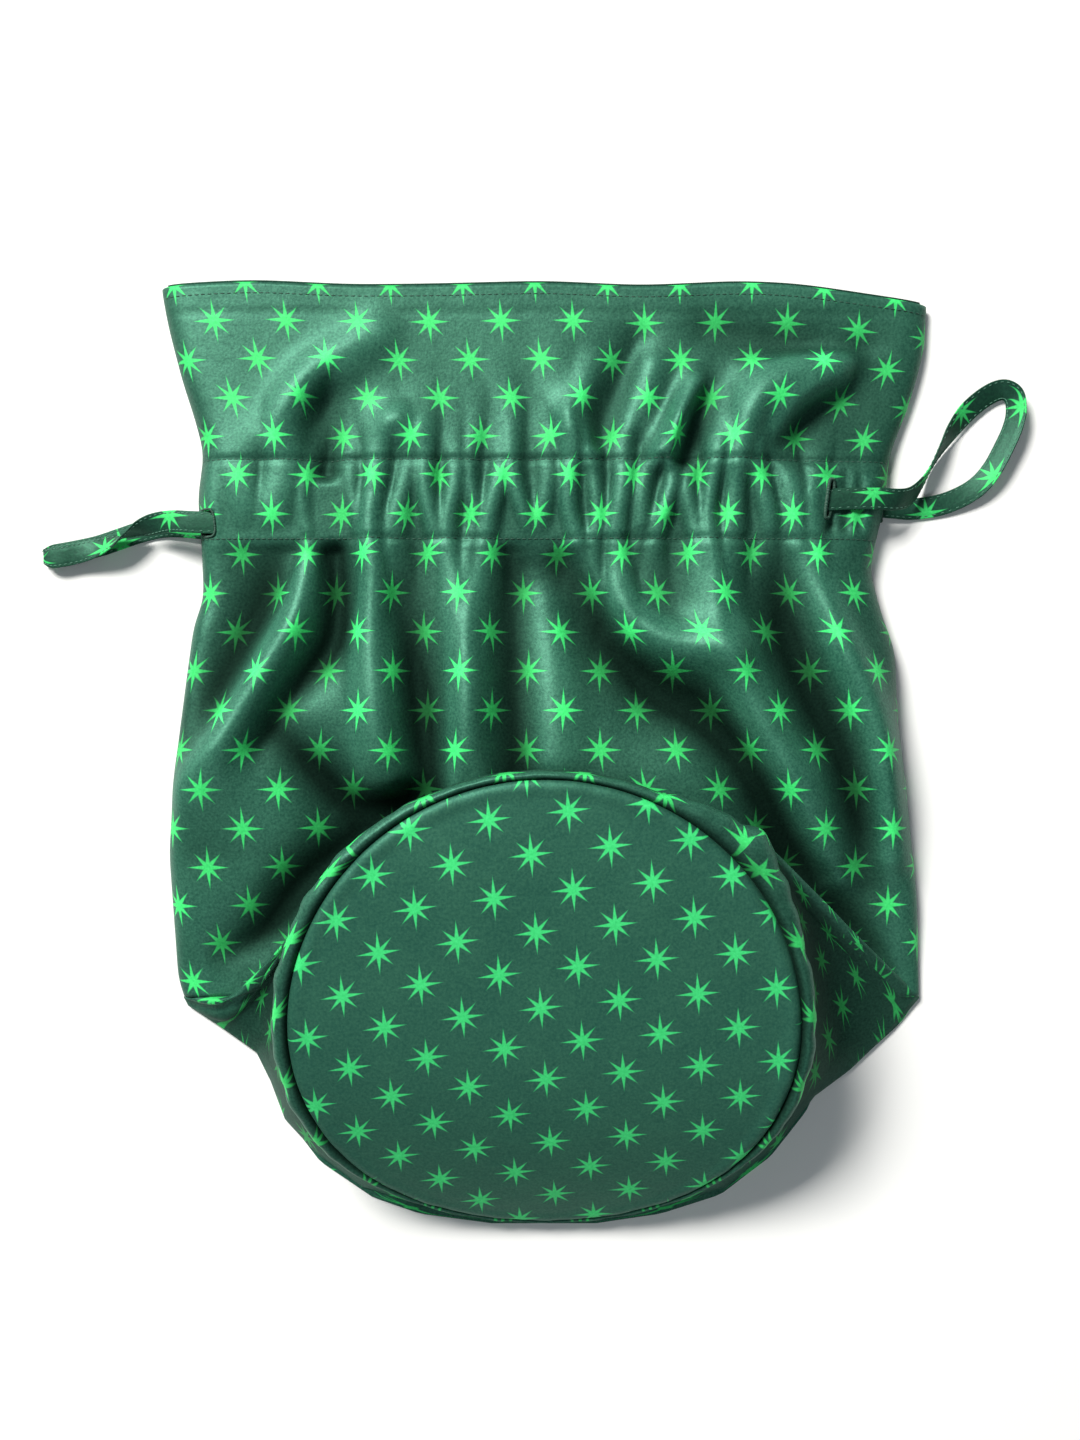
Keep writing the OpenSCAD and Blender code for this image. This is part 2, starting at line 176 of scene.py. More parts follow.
def satin(name, ground, deep, star, star_light, printed=True, roughness=0.52):
    """Printed satin: a smooth, slightly uneven green with the grain of its weave, a fine
    thread ribbing that runs along the cloth, a soft sheen, and stars a little rougher
    than the ground. Painted shade darkens its colour in the hollows of the folds, where it
    also loses its shine, and a painted highlight brightens it on the crests, each in
    proportion to the mesh's own painted_shading value."""
    material, shader, start = new_finish(name, {
        "Metallic": SATIN_GLOW, "Specular IOR Level": 0.32, "Sheen Weight": 0.04,
        "Sheen Roughness": 0.4, "Sheen Tint": (0.35, 0.85, 0.65, 1)})
    place = start.make("ShaderNodeTexCoord", out="Object")
    cloth = start.make("ShaderNodeUVMap", {"uv_map": "cloth"}, out="UV")
    across, down = [start.make("ShaderNodeSeparateXYZ", inputs={"Vector": cloth}, out=axis)
                    for axis in "XY"]

    def noise(vector, scale, detail, coarseness):
        return start.make("ShaderNodeTexNoise", inputs={
            "Vector": vector, "Scale": scale, "Detail": detail, "Roughness": coarseness},
            out="Fac")

    blotch = noise(place, 38.0, 3.0, 0.55)
    ribbed = start.make("ShaderNodeVectorMath", {"operation": "MULTIPLY"},
                        {0: cloth, 1: (160.0, 9.0, 1.0)})
    thread = noise(ribbed, 1.0, 2.0, 0.6)
    crumple = noise(place, 120.0, 2.0, 0.5)
    weave = noise(place, 950.0, 1.0, 0.6)
    painted_shading = start.make("ShaderNodeAttribute", {"attribute_name": "painted_shading"}, out="Fac")
    colour = (blotch * 0.7 + thread * 0.3 + weave * 1.8 - 0.9).mix(deep, ground)
    rough = (roughness + (thread - 0.5) * 0.12 + (blotch - 0.5) * 0.10
             + painted_shading.math("MAXIMUM", painted_shading, 0.0) * 0.25)
    if printed:
        mask = star_mask(across, down, 0.35)
        ink = (thread * 0.4 + blotch * 0.4 + weave * 1.2 - 0.55).mix(star, star_light)
        colour = mask.mix(colour, ink)
        rough = rough + mask * 0.08
        glow = SATIN_GLOW + painted_shading * 0.35 - mask * (SATIN_GLOW - 0.15)
        glow.feed(shader, "Metallic")
    # Painted shade and highlight: the colour is scaled down by painted_shading in the folds'
    # hollows and up on their crests
    shaded = start.make("ShaderNodeVectorMath", {"operation": "SCALE"},
                        {0: colour, "Scale": 1 - painted_shading * HOLLOW_SHADE}, out="Vector")
    shaded.feed(shader, "Base Color")
    rough.feed(shader, "Roughness")
    bump = start.make("ShaderNodeBump", inputs={
        "Height": thread * 0.05 + crumple * 0.35 + blotch * 0.8 + weave * 0.10,
        "Strength": 0.5, "Distance": 0.0012})
    bump.feed(shader, "Normal")
    return material


def make_mesh(name, points, faces, cloth=None, painted_shading=None):
    """A mesh from points in millimetres and rows of four corners. Corners that lie on
    the same spot are joined, so poles and wrapped seams close. cloth gives each point
    its place on the flat cloth, in repeats of the print, and painted_shading the painted
    shade in its colour, as deep in a fold: 1 where no light would get in, below 0 a
    painted highlight on a crest."""
    points = np.asarray(points, float).reshape(-1, 3) * MM
    faces = np.asarray(faces, int)
    _, first, joined = np.unique(np.round(points * 1e7), axis=0, return_index=True,
                                 return_inverse=True)
    joined = joined.reshape(-1)
    corners = joined[faces]
    repeats = (corners == np.roll(corners, -1, axis=1))
    used = np.unique(corners[repeats.sum(1) < 2])
    number = np.full(len(first), -1)
    number[used] = np.arange(len(used))
    lists, sources = [], []
    for group, wanted in ((repeats.sum(1) == 0, 4), (repeats.sum(1) == 1, 3)):
        kept, own, same = corners[group], faces[group], repeats[group]
        if wanted == 3 and len(kept):
            kept, own = kept[~same].reshape(-1, 3), own[~same].reshape(-1, 3)
        lists += number[kept].tolist()
        sources.append(own.reshape(-1))
    mesh = bpy.data.meshes.new(name)
    mesh.from_pydata(points[first[used]].tolist(), [], lists)
    if cloth is not None:
        layer = mesh.uv_layers.new(name="cloth")
        order = np.concatenate(sources)
        layer.data.foreach_set("uv", np.asarray(cloth, float).reshape(-1, 2)[order].ravel())
    if painted_shading is not None:
        layer = mesh.attributes.new("painted_shading", "FLOAT", "POINT")
        layer.data.foreach_set("value", np.ravel(painted_shading)[first[used]])
    mesh.polygons.foreach_set("use_smooth", np.ones(len(mesh.polygons), bool))
    mesh.update()
    return mesh


def grid_faces(rows, columns, keep=None, wrap=False):
    """Corners of the squares of a grid whose points are listed row by row. keep drops
    squares, and wrap joins the last column to the first."""
    i, j = np.meshgrid(np.arange(rows - 1), np.arange(columns if wrap else columns - 1),
                       indexing="ij")
    if keep is not None:
        i, j = i[keep], j[keep]
    i, j, k = i.ravel(), j.ravel(), (j.ravel() + 1) % columns
    return np.stack([i * columns + j, i * columns + k, (i + 1) * columns + k,
                     (i + 1) * columns + j], axis=1)


def add_piece(name, mesh, material, body=None, thickness=None, replaces=()):
    """Puts a mesh in the scene as a piece, gives it its cloth thickness on the inner
    side, joins it to its body, and hides the CAD solids it stands for."""
    piece = add_object(name, mesh)
    mesh.materials.append(material)
    if thickness:
        wall = piece.modifiers.new("cloth", "SOLIDIFY")
        wall.thickness = thickness * MM
        wall.offset = -1
    if body:
        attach(piece, body)
    for node in replaces:
        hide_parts(node)
    return piece


def smooth_path(points, samples):
    """Points on the smooth curve through a list of rows (Catmull-Rom): each span is the
    cubic whose slopes at its ends are half the step between the neighbours."""
    rows = np.asarray(points, float)
    spot = np.linspace(0, len(rows) - 1, samples)
    i = np.minimum(spot.astype(int), len(rows) - 2)
    t = (spot - i).reshape(-1, *[1] * (rows.ndim - 1))
    before, a = rows[np.maximum(i - 1, 0)], rows[i]
    b, after = rows[i + 1], rows[np.minimum(i + 2, len(rows) - 1)]
    return 0.5 * (2 * a + (b - before) * t + (2 * before - 5 * a + 4 * b - after) * t ** 2
                  + (3 * a - before - 3 * b + after) * t ** 3)


def unit(rows):
    """Each vector divided by its own length."""
    return rows / np.linalg.norm(rows, axis=-1, keepdims=True)


def ribbon_mesh(name, route, samples, start_repeat, tip=None):
    """A flat ribbon along a route. At each sample its section is laid across the way
    the route goes: a thin rounded strip, a little fuller at its turned-in edges and
    dented along the two rows of topstitching. At a tip, given as a share of the route,
    the folded end is rounded: its width follows a circle, down to half at the very end."""
    centre = smooth_path([entry[0] for entry in route], samples)
    wide = smooth_path([entry[1] for entry in route], samples)
    along = unit(np.gradient(centre, axis=0))
    across = unit(wide - (wide * along).sum(1, keepdims=True) * along)
    up = np.cross(along, across)
    count = 28
    angle = np.linspace(0, 2 * math.pi, count, endpoint=False)
    side = np.sign(np.cos(angle)) * np.abs(np.cos(angle)) ** 0.75 * RIBBON_W / 2
    thick = np.sign(np.sin(angle)) * np.abs(np.sin(angle)) ** 0.45 * RIBBON_T / 2
    thick *= 1 - 0.308 * np.exp(-((np.abs(side) - TOPSTITCH_IN) / 0.45) ** 2)
    length = np.concatenate([[0], np.cumsum(np.linalg.norm(np.diff(centre, axis=0), axis=1))])
    drawn = np.ones(samples)
    if tip is not None:
        end = centre[int(tip * samples)]
        gap = np.hypot(*(centre - end)[:, :2].T) / (RIBBON_W / 2)
        drawn = 0.5 + 0.5 * np.sqrt(1 - np.clip(1 - gap, 0, 1) ** 2)
    across = across * drawn[:, None]
    points = (centre[:, None] + side[None, :, None] * across[:, None]
              + thick[None, :, None] * up[:, None])
    points = np.concatenate([centre[:1, None].repeat(count, 1), points,
                             centre[-1:, None].repeat(count, 1)])
    length = np.concatenate([length[:1], length, length[-1:]])
    cloth = np.stack(np.broadcast_arrays(
        (side / STAR_REPEAT + RIBBON_PRINT)[None, :],
        (length / STAR_REPEAT + start_repeat)[:, None]), axis=2)
    mesh = make_mesh(name, points, grid_faces(samples + 2, count, wrap=True)[:, ::-1], cloth)
    return mesh, centre, across, up


ribbon_satin = satin("ribbon_satin", RIBBON_GREEN, RIBBON_DEEP, STAR_GREEN, STAR_LIGHT)


def thread_finish(name, colour):
    """Twisted sewing thread: green, matt, with fine slanting ply lines."""
    material, shader, start = new_finish(name, {"Roughness": 0.55, "Sheen Weight": 0.05})
    place = start.make("ShaderNodeTexCoord", out="Object")
    ply = start.make("ShaderNodeTexWave", {"bands_direction": "DIAGONAL"}, {
        "Vector": place, "Scale": 900.0, "Distortion": 1.0}, out="Fac")
    ply.mix(tuple(0.6 * c for c in colour[:3]) + (1,), colour).feed(shader, "Base Color")
    start.make("ShaderNodeBump", inputs={"Height": ply, "Strength": 0.4,
                                         "Distance": 0.0002}).feed(shader, "Normal")
    return material


sewing_thread = thread_finish("sewing_thread", THREAD_GREEN)
ribbon_thread = thread_finish("ribbon_thread", TOPSTITCH_GREEN)


def stitch_mesh(name, centre, along, up, length=1.9, width=0.42, height=0.20):
    """A row of stitches: each is a short rounded grain of thread, longest along the row,
    half sunk in the cloth. One grain is five rings of six points, set at every centre."""
    ring = np.linspace(0, 2 * math.pi, 6, endpoint=False)
    step = np.array([-1, -0.75, 0, 0.75, 1])
    full = np.array([0, 0.75, 1, 0.75, 0])
    grain = np.stack([
        np.broadcast_to(step[:, None] * length / 2, (5, 6)),
        full[:, None] * np.cos(ring)[None] * width / 2,
        full[:, None] * np.sin(ring)[None] * height], axis=2).reshape(-1, 3)
    across = unit(np.cross(up, along))
    points = (centre[:, None] + grain[None, :, :1] * along[:, None]
              + grain[None, :, 1:2] * across[:, None] + grain[None, :, 2:] * up[:, None])
    faces = grid_faces(5, 6, wrap=True)[None] + 30 * np.arange(len(centre))[:, None, None]
    return make_mesh(name, points, faces.reshape(-1, 4)[:, ::-1])


# Each route is a row of places, with the way that the ribbon's width faces there
RIGHT_ROUTE = [
    [[116, 105.5, 13.9], [0, 1, 0]], [[126, 106, 13.9], [0, 1, 0]],
    [[137, 106, 13.9], [0, 1, 0]], [[146, 106, 11.8], [0, 1, 0.4]],
    [[152, 108, 8], [-0.3, 0.8, 0.8]], [[157, 113.5, 6], [-0.3, 0.3, 1]],
    [[161, 120, 5.2], [-0.2, 0.1, 1]], [[165.5, 128, 5], [-0.4, 0.2, 1]],
    [[170.5, 136, 4.4], [-0.7, 0.45, 0.8]], [[177, 144, 3.4], [-0.75, 0.6, 0.45]],
    [[185, 150.5, 3.2], [-0.45, 0.85, 0.4]], [[191.5, 153, 3.6], [-0.1, 0.9, 0.5]],
    [[196, 150.5, 4], [0.65, 0.5, 0.6]], [[197, 144, 4.2], [0.8, 0, 0.65]],
    [[195.5, 137, 4.2], [0.8, -0.2, 0.65]], [[192, 129, 4], [0.75, -0.35, 0.6]],
    [[187.5, 120.5, 3.6], [0.7, -0.45, 0.55]], [[182, 113.5, 2.8], [0.6, -0.75, 0.35]],
    [[174.5, 108.5, 1.8], [0.35, -0.95, 0.15]], [[165, 105, 1.2], [0.2, -1, 0]],
    [[154, 103.5, 1.1], [0.1, -1, 0]], [[146, 104, 1.6], [0, -1, 0]],
    [[138, 104.5, 2], [0, -1, 0]]]
LEFT_ROUTE = [
    [[-135, 96, 13.9], [0, 1, 0]], [[-146, 96.5, 13.9], [0, 1, 0]],
    [[-153, 97, 12], [0, 1, 0]], [[-160, 96.5, 9.5], [0, 1, 0.3]],
    [[-167, 94.5, 8], [0.2, 0.7, 0.75]], [[-173.5, 91.5, 7.4], [0.2, 0.1, 1]],
    [[-180, 88.8, 6.8], [0, -0.7, 0.75]], [[-187, 86.5, 5.8], [-0.2, -1, 0.3]],
    [[-195, 84.5, 5], [-0.2, -1, 0]], [[-203, 83, 4.8], [-0.1, -1, 0]],
    [[-208, 83, 3.6], [0, -1, 0]], [[-208.5, 83.5, 2], [0, -1, 0]],
    [[-204, 84.5, 0.9], [0, -1, 0]], [[-196, 86, 0.7], [-0.2, -1, 0]],
    [[-187, 88, 0.7], [-0.2, -1, 0]], [[-178, 91, 0.7], [-0.3, -1, 0]],
    [[-169, 94, 0.7], [-0.3, -1, 0]], [[-160, 96, 0.8], [-0.1, -1, 0]],
    [[-151, 96, 1.3], [0, -1, 0]], [[-143, 95.3, 2], [0, -1, 0]],
    [[-138, 95, 2], [0, -1, 0]]]
RIGHT_TURN = [
    [[-128, 105.5, 13.9], [0, 1, 0]], [[-133, 105.5, 13.2], [0, 1, 0]],
    [[-136.5, 105, 10.5], [0, 1, 0]], [[-137.5, 105, 8], [0, 1, 0]],
    [[-136.5, 105, 5], [0, 1, 0]], [[-133, 104.5, 2.8], [0, 1, 0]],
    [[-128, 104.5, 2], [0, 1, 0]]]
LEFT_TURN = [
    [[104, 96, 13.9], [0, 1, 0]], [[110, 96, 13], [0, 1, 0]],
    [[117, 96, 11], [0, 1, 0]], [[124, 95.5, 8.5], [0, 1, 0]],
    [[128, 95.5, 6.5], [0, 1, 0]], [[129, 95, 4.5], [0, 1, 0]],
    [[126, 95, 2.6], [0, 1, 0]], [[120, 95, 2], [0, 1, 0]]]
# The straight runs inside the casing: from x to x, at a y and a z
RUNS = {"right": [(-128, 116, 105.5, 13.9), (-128, 138, 104.5, 2)],
        "left": [(-135, 104, 96, 13.9), (-138, 120, 95, 2)]}

for hand, route, turn, offset, tip in (
        ("right", RIGHT_ROUTE, RIGHT_TURN, 0.37, None),
        ("left", LEFT_ROUTE, LEFT_TURN, 0.35, 0.513)):
    body = hand + "_drawstring"
    mesh, centre, across, up = ribbon_mesh(body + "_ribbon", route, 150, offset, tip)
    loop = add_piece(body + "_ribbon", mesh, ribbon_satin, body,
                     replaces=[body + "_loop"])
    rows = [(centre + side * TOPSTITCH_IN * across + face * 0.42 * up, face * up)
            for side in (-1, 1) for face in (-1, 1)]
    sewn = np.concatenate([row[::2] for row, _ in rows])
    way = np.concatenate([unit(np.gradient(centre, axis=0))[::2]] * 4)
    out = np.concatenate([normal[::2] for _, normal in rows])
    topstitch = add_piece(body + "_topstitch", stitch_mesh(
        body + "_topstitch", sewn, way, out, length=1.4, width=0.36, height=0.18),
        ribbon_thread, body)
    tuple(centre[0] * MM)
    (centre * MM).tolist()
    mesh = ribbon_mesh(body + "_turn_ribbon", turn, 30, 0)[0]
    add_piece(body + "_turn_ribbon", mesh, ribbon_satin, body,
              replaces=[body + "_turn"])
    for number, (x0, x1, y, z) in enumerate(RUNS[hand]):
        straight = [[[x, y, z], [0, 1, 0]] for x in np.linspace(x0, x1, 9)]
        name = f"{body}_hidden_run_{number + 1}"
        add_piece(name, ribbon_mesh(name, straight, 40, 0)[0], ribbon_satin, body,
                  replaces=[body + "_runs"])

# ---- Front wall ----------------------------------------------------------------------
# The upper layer of the satin tube, from the mouth down to the crease under the base. It
# is puffed up over the air inside, gathered where the casing is sewn, and hangs in long
# soft folds that run down to both corners and in under the round base.
CLOTH_GREEN = (0.038, 0.156, 0.100, 1)
CLOTH_DEEP = (0.013, 0.080, 0.053, 1)
INSIDE_GREEN = (0.020, 0.082, 0.052, 1)
INSIDE_DEEP = (0.012, 0.058, 0.038, 1)
CLOTH_T = 0.8
HALF_W = 150            # the sack's usual half-width as it lies
HALF_CLOTH = 165        # half the cloth's width if it lay flat
PRINT_X, PRINT_Y = 3.6, 3
PRINT_SHORTER = 0.9445
CASING_Y = 89           # the casing's lower and upper edges
CASING_TOP = 122
CASING_ROWS = (CASING_Y + 0.3, CASING_TOP - 0.3)    # its rows of stitches
CREASE_Y = -100
MOUTH_Y = 195
HEM_W = 12
HEM_ROW = MOUTH_Y - 4.5
EDGE_Z = 1.7            # height of the wall's outer face at the side edges
FLAT_Z = 2.7            # rise from there to the wall where it isn't puffed
LANE_Z = 13.9           # least rise over the drawstrings in the casing
PRESSED_Z = 12.3        # height under the right ribbon, which lies on the wall
# The side edges, as y and x, the mouth, as share of the half-width and y, and how high
# the air inside lifts the wall at each y
LEFT_EDGE = [[-104, -149], [-94, -153], [-40, -156], [-2, -153], [32, -149], [55, -146],
             [65, -142], [89, -143], [107, -144.5], [126, -142], [141, -146],
             [156, -151], [179, -157], [195, -160]]
RIGHT_EDGE = [[-101, 157], [-60, 156], [-18, 151.5], [15, 147.5], [44, 146.5],
              [59, 141], [78, 136], [89, 138.5], [103, 142], [116, 143.5], [126, 144.5],
              [145, 152], [158, 156], [170, 159], [187, 160]]
MOUTH_LINE = [[-1, 194], [-0.75, 196], [-0.5, 194], [-0.3, 194.3], [0, 195.5],
              [0.25, 193.6], [0.5, 195.6], [0.65, 194.5], [0.85, 190], [1, 187]]
PUFF = [[-100, 4], [-60, 13], [-10, 21.5], [18, 20], [50, 15.5], [80, 11.2], [125, 11.2],
        [195, 7.4]]
# The front buttonholes: their span in shares of the half-width, middle, and half length
RIGHT_SLIT = (0.819, 0.832)
LEFT_SLIT = (-0.985, -0.942)
RIGHT_SLIT_Y = 106
LEFT_SLIT_Y = 96
RIGHT_SLIT_HALF = 7.6
LEFT_SLIT_HALF = 5.2
# Each fold: half-width, radius of its crest, then points with their height, which is
# below zero in a valley
FOLDS = [
    (11, 5, [(-101, 96, -1), (-111, 80, -5), (-116, 64, -7), (-125, 43, -7),
             (-135, 23, -6), (-143, 8, -3)]),
    (7, 2, [(-95, 84, 1), (-101, 60, 6), (-112, 39, 7), (-126, 15, 6), (-136, -1, 5),
            (-146, -13, 3)]),
    (6, 2, [(-85, 160, -1), (-90, 145, -5), (-91, 130, -6), (-89, 112, -4),
            (-86, 86, -5), (-85, 64, -6), (-87, 47, -6), (-97, 33, -5), (-108, 18, -4),
            (-116, 5, -3)]),
    (8, 3, [(-70, 108, 0), (-70, 80, 3), (-68, 47, 5), (-66, 10, 6), (-62, -8, 6)]),
    (9, 3, [(-112, 14, -1), (-99, 0, -7), (-90, -10, -9), (-80, -20, -9),
            (-62, -24, -8)]),
    (10, 3, [(-62, -24, -6), (-83, -38, -9), (-100, -52, -9), (-114, -70, -7),
             (-128, -80, -4), (-141, -84, -1)]),
    (9, 4, [(-60, 64, -3), (-52, 25, -5), (-48, -12, -5)]),
    (7, 3, [(-32, 84, 2), (-31, 40, 6), (-31, -10, 6)]),
    (9, 4, [(-12, 78, -3), (-12, 40, -4), (-10, -5, -4)]),
    (8, 4, [(2, 62, 2), (4, 0, 3)]),
    (12, 4, [(7, 86, -2), (10, 78, -5), (21, 60, -8), (31, 43, -9), (45, 27, -10),
             (65, 15, -10), (82, -1, -11), (98, -30, -12), (104, -46, -12)]),
    (8, 2, [(14, 84, 2), (29, 62, 6), (43, 49, 7), (60, 44, 6), (75, 43, 4)]),
    (8, 2, [(68, 84, 2), (72, 56, 4), (80, 31, 6), (90, 7, 8), (102, -13, 9),
            (112, -38, 8), (117, -50, 5)]),
    (9, 4, [(94, 84, -2), (98, 56, -5), (110, 23, -6), (122, -1, -6), (130, -30, -6),
            (133, -52, -4)]),
    (6, 2, [(108, 84, 1), (120, 48, 5), (132, 23, 5), (139, 0, 5), (143, -40, 4)]),
    (10, 3, [(104, -46, -8), (118, -62, -10), (130, -75, -8), (142, -88, -4)]),
    (7, 3, [(-70, 174, 2), (-92, 158, 4), (-102, 147, 4), (-112, 132, 2)]),
    (6, 3, [(-60, 137, 4), (-54, 134, 2)]),
    (5, 2, [(38, 172, -2), (28, 147, -4), (22, 128, -4)]),
    (5, 2, [(20, 160, 1), (12, 140, 4), (18, 126, 4)]),
    (5, 2, [(44, 160, 2), (37, 136, 2)]),
    (4, 1.5, [(62, 152, 3), (55, 138, 6), (49, 124, 5)]),
    (4, 1.5, [(68, 152, -2), (63, 138, -5), (57, 122, -4)]),
    (8, 2, [(76, 126, 4), (88, 146, 6), (102, 157, 6), (130, 166, 5)]),
    (5, 2, [(94, 128, 2), (106, 145, 5), (122, 153, 3)]),
    (7, 3, [(98, 128, -4), (114, 142, -7), (131, 150, -7), (135, 168, -4)]),
    (6, 3, [(68, 176, -3), (98, 171, -5), (130, 169, -5)]),
    (12, 5, [(128, 132, -4), (140, 140, -3)]),
]
# Gathers pleated by the casing's stitches: place across, height, half-width, slant, and
# how far they run up and down from the middle of the casing
GATHERS = [
    (-136, 1.5, 3.5, 0.10, 22, 20), (-124, 2.0, 5.0, -0.15, 26, 18),
    (-108, 2.6, 5.5, 0.20, 34, 24), (-97, 2.4, 3.0, 0.05, 30, 40),
    (-79, 2.2, 3.2, -0.05, 24, 26), (-70, 3.2, 3.4, 0.02, 30, 60),
    (-58, 2.2, 3.0, 0.15, 26, 26), (-47, 2.8, 2.6, -0.08, 32, 30),
    (-38, 2.6, 2.8, 0.08, 26, 44), (-29, 2.0, 2.2, -0.02, 30, 20),
    (-20, 2.8, 2.8, 0.12, 24, 34), (-10, 2.6, 2.6, -0.15, 36, 22),
    (0, 2.2, 3.0, 0.10, 30, 26), (11, 3.2, 2.8, -0.12, 40, 24),
    (21, 2.4, 2.4, 0.05, 26, 30), (31, 3.4, 3.0, 0.00, 30, 40),
    (41, 2.4, 2.6, 0.18, 26, 24), (50, 3.0, 2.6, 0.20, 38, 28),
    (60, 2.6, 2.8, -0.10, 26, 34), (68, 3.2, 2.6, -0.02, 30, 36),
    (79, 3.0, 3.2, 0.15, 34, 26), (90, 2.8, 3.0, -0.10, 30, 30),
    (101, 2.6, 3.4, -0.18, 28, 32), (111, 1.8, 2.6, 0.05, 18, 30),
    (127, 0.6, 3.0, 0.10, 20, 30), (135, 1.0, 3.0, 0.05, 24, 30)]
PLEAT_W = 2.1           # a pleat's reach, in its half-widths
PLEAT_H = 1.7           # all gathers are raised by this
FOLD_H = 1.6            # all folds are raised by this


def soft_lookup(value, table, blur=4.0):
    """Value read from a table of pairs by straight lines, with the corners rounded: the
    table is drawn finely and averaged with a bell of that width."""
    keys, results = np.array(table, float).T
    fine = np.arange(min(keys[0], -1) - 6 * blur, keys[-1] + 6 * blur, blur / 4)
    drawn = np.interp(fine, keys, results)
    bell = np.exp(-0.5 * (np.arange(-16, 17) / 4) ** 2)
    padded = np.pad(drawn, 16, mode="edge")
    return np.interp(value, fine, np.convolve(padded, bell / bell.sum(), "valid"))


def half_width(y):
    """Half the distance between the two side edges at a height y."""
    return (soft_lookup(y, RIGHT_EDGE) - soft_lookup(y, LEFT_EDGE)) / 2


def middle(y):
    """The x halfway between the two side edges at a height y."""
    return (soft_lookup(y, RIGHT_EDGE) + soft_lookup(y, LEFT_EDGE)) / 2


def place(u, y):
    """Point of the flat sack for a share u of the half-width and a height y. Above the
    casing the rows bend to meet the mouth's own wavy line."""
    top = soft_lookup(u, MOUTH_LINE, 0.05)
    row = np.where(y <= CASING_TOP, y, CASING_TOP + (y - CASING_TOP)
                   * (top - CASING_TOP) / (MOUTH_Y - CASING_TOP))
    return middle(row) + u * half_width(row), row


def smoothstep(value, low, high):
    """0 below low and 1 above high, and 3 t squared less 2 t cubed between them."""
    t = np.clip((value - low) / (high - low), 0, 1)
    return t * t * (3 - 2 * t)


def fold_height(x, y, half, crest, line):
    """Height of one fold: its own height at the nearest point of its line. A ridge falls
    off as a bell, and a valley is a narrower crease that falls off by e for each
    half-width away."""
    line = smooth_path(line, 3 * len(line) - 2) if len(line) > 2 else np.array(line, float)
    best = np.full(x.shape, np.inf)
    height = np.zeros(x.shape)
    for start, end in zip(line[:-1], line[1:]):
        dx, dy = end[:2] - start[:2]
        t = np.clip(((x - start[0]) * dx + (y - start[1]) * dy) / (dx * dx + dy * dy), 0, 1)
        far = np.hypot(x - start[0] - t * dx, y - start[1] - t * dy)
        nearer = far < best
        best = np.where(nearer, far, best)
        height = np.where(nearer, start[2] + t * (end[2] - start[2]), height)
    rounded = np.exp(-(best / (1.35 * half)) ** 2)
    creased = np.exp(-(np.sqrt(best ** 2 + crest ** 2) - crest) / half)
    return np.where(height > 0, height * rounded, height * creased)


def gather_height(x, y):
    """The gathers: each is a round-topped pleat across x, a parabola that leans with y
    and fades above and below the casing. The highest one counts, so that two meet in a
    sharp crease."""
    total = np.zeros(x.shape)
    mid = (CASING_Y + CASING_TOP) / 2
    for centre, height, half, slant, up, down in GATHERS:
        away = x - centre - slant * (y - mid) - 1.3 * np.sin(y / 8 + centre)
        reach = np.where(y > mid, (y - mid) / up, (mid - y) / down)
        wide = half * PLEAT_W * (1 + 0.25 * reach ** 2)
        pleat = PLEAT_H * height * (1 - (away / wide) ** 2) * np.exp(-reach ** 2)
        total = np.maximum(total, pleat)
    return total


def side_roll(u):
    """1 over most of the width, rounding off to 0 at both side edges: the square root
    of 1 less a high power of the share, a higher one at the left, whose edge is crisper."""
    return np.sqrt(np.clip(1 - np.abs(u) ** np.where(u < 0, 30.0, 14.0), 0, 1))


def at_least(z, floor, blend):
    """The higher of two heights, with the corner where they cross rounded off: z plus
    the soft step of the gap below the floor, blend times the log of 1 + e^(gap/blend)."""
    return z + np.logaddexp(0, (floor - z) / blend) * blend


def front_z(u, x, y):
    """Height of the front wall's outer face: the puffed sack rolled off at both sides,
    plus folds, whose depth levels off, and gathers, dented along the stitch rows. In the
    casing it stays above the drawstrings, and past the right buttonhole it is pressed
    under the ribbon. Beside the base it stays below the part that moves with the base."""
    roll = side_roll(u)
    folds = FOLD_H * sum(fold_height(x, y, *fold) for fold in FOLDS)
    deepest = np.interp(y, [0, 60, 130], [16, 11, 5.5])
    folds = np.where(folds < 0, -deepest * np.tanh(-folds / deepest), folds)
    z = EDGE_Z + (FLAT_Z + soft_lookup(y, PUFF, 6) + folds + gather_height(x, y)) * roll
    z = -at_least(-z, -31 - 0.31 * np.clip(y, -40, None), 1.5)
    for row, deep, wide in ((CASING_ROWS[0], 0.9, 1.5), (CASING_ROWS[1], 0.9, 1.5),
                            (MOUTH_Y - HEM_W, 0.35, 1.2)):
        z = z - deep * roll * np.exp(-((y - row) / wide) ** 2)
    lane = smoothstep(y, 84, 90) * (1 - smoothstep(y, 111, 117))
    z = z + lane * (at_least(z, EDGE_Z + LANE_Z * roll, 0.35) - z)
    z = z + roll * (at_least(z, EDGE_Z + 1.5, 0.5) - z)
    press = (smoothstep(u, RIGHT_SLIT[0], RIGHT_SLIT[1] + 0.012)
             * smoothstep(y, 89, 95) * (1 - smoothstep(y, 116, 122)))
    return z * (1 - press) + np.minimum(z, PRESSED_Z + 0.5 * np.sin(x)) * press


def hollows(across, along, z, reach):
    """How far each point of a grid lies below the smoothed sheet round it. The smoothed
    height is a mean over the grid, weighted both ways by a bell of that reach; 7 mm
    below it counts as 1, and a crest counts as less than 0."""
    bells = [np.exp(-((line[:, None] - line[None]) / reach) ** 2) for line in (across, along)]
    wide, tall = [bell / bell.sum(1, keepdims=True) for bell in bells]
    return np.clip((tall @ z @ wide.T - z) / 7, -0.45, 1)


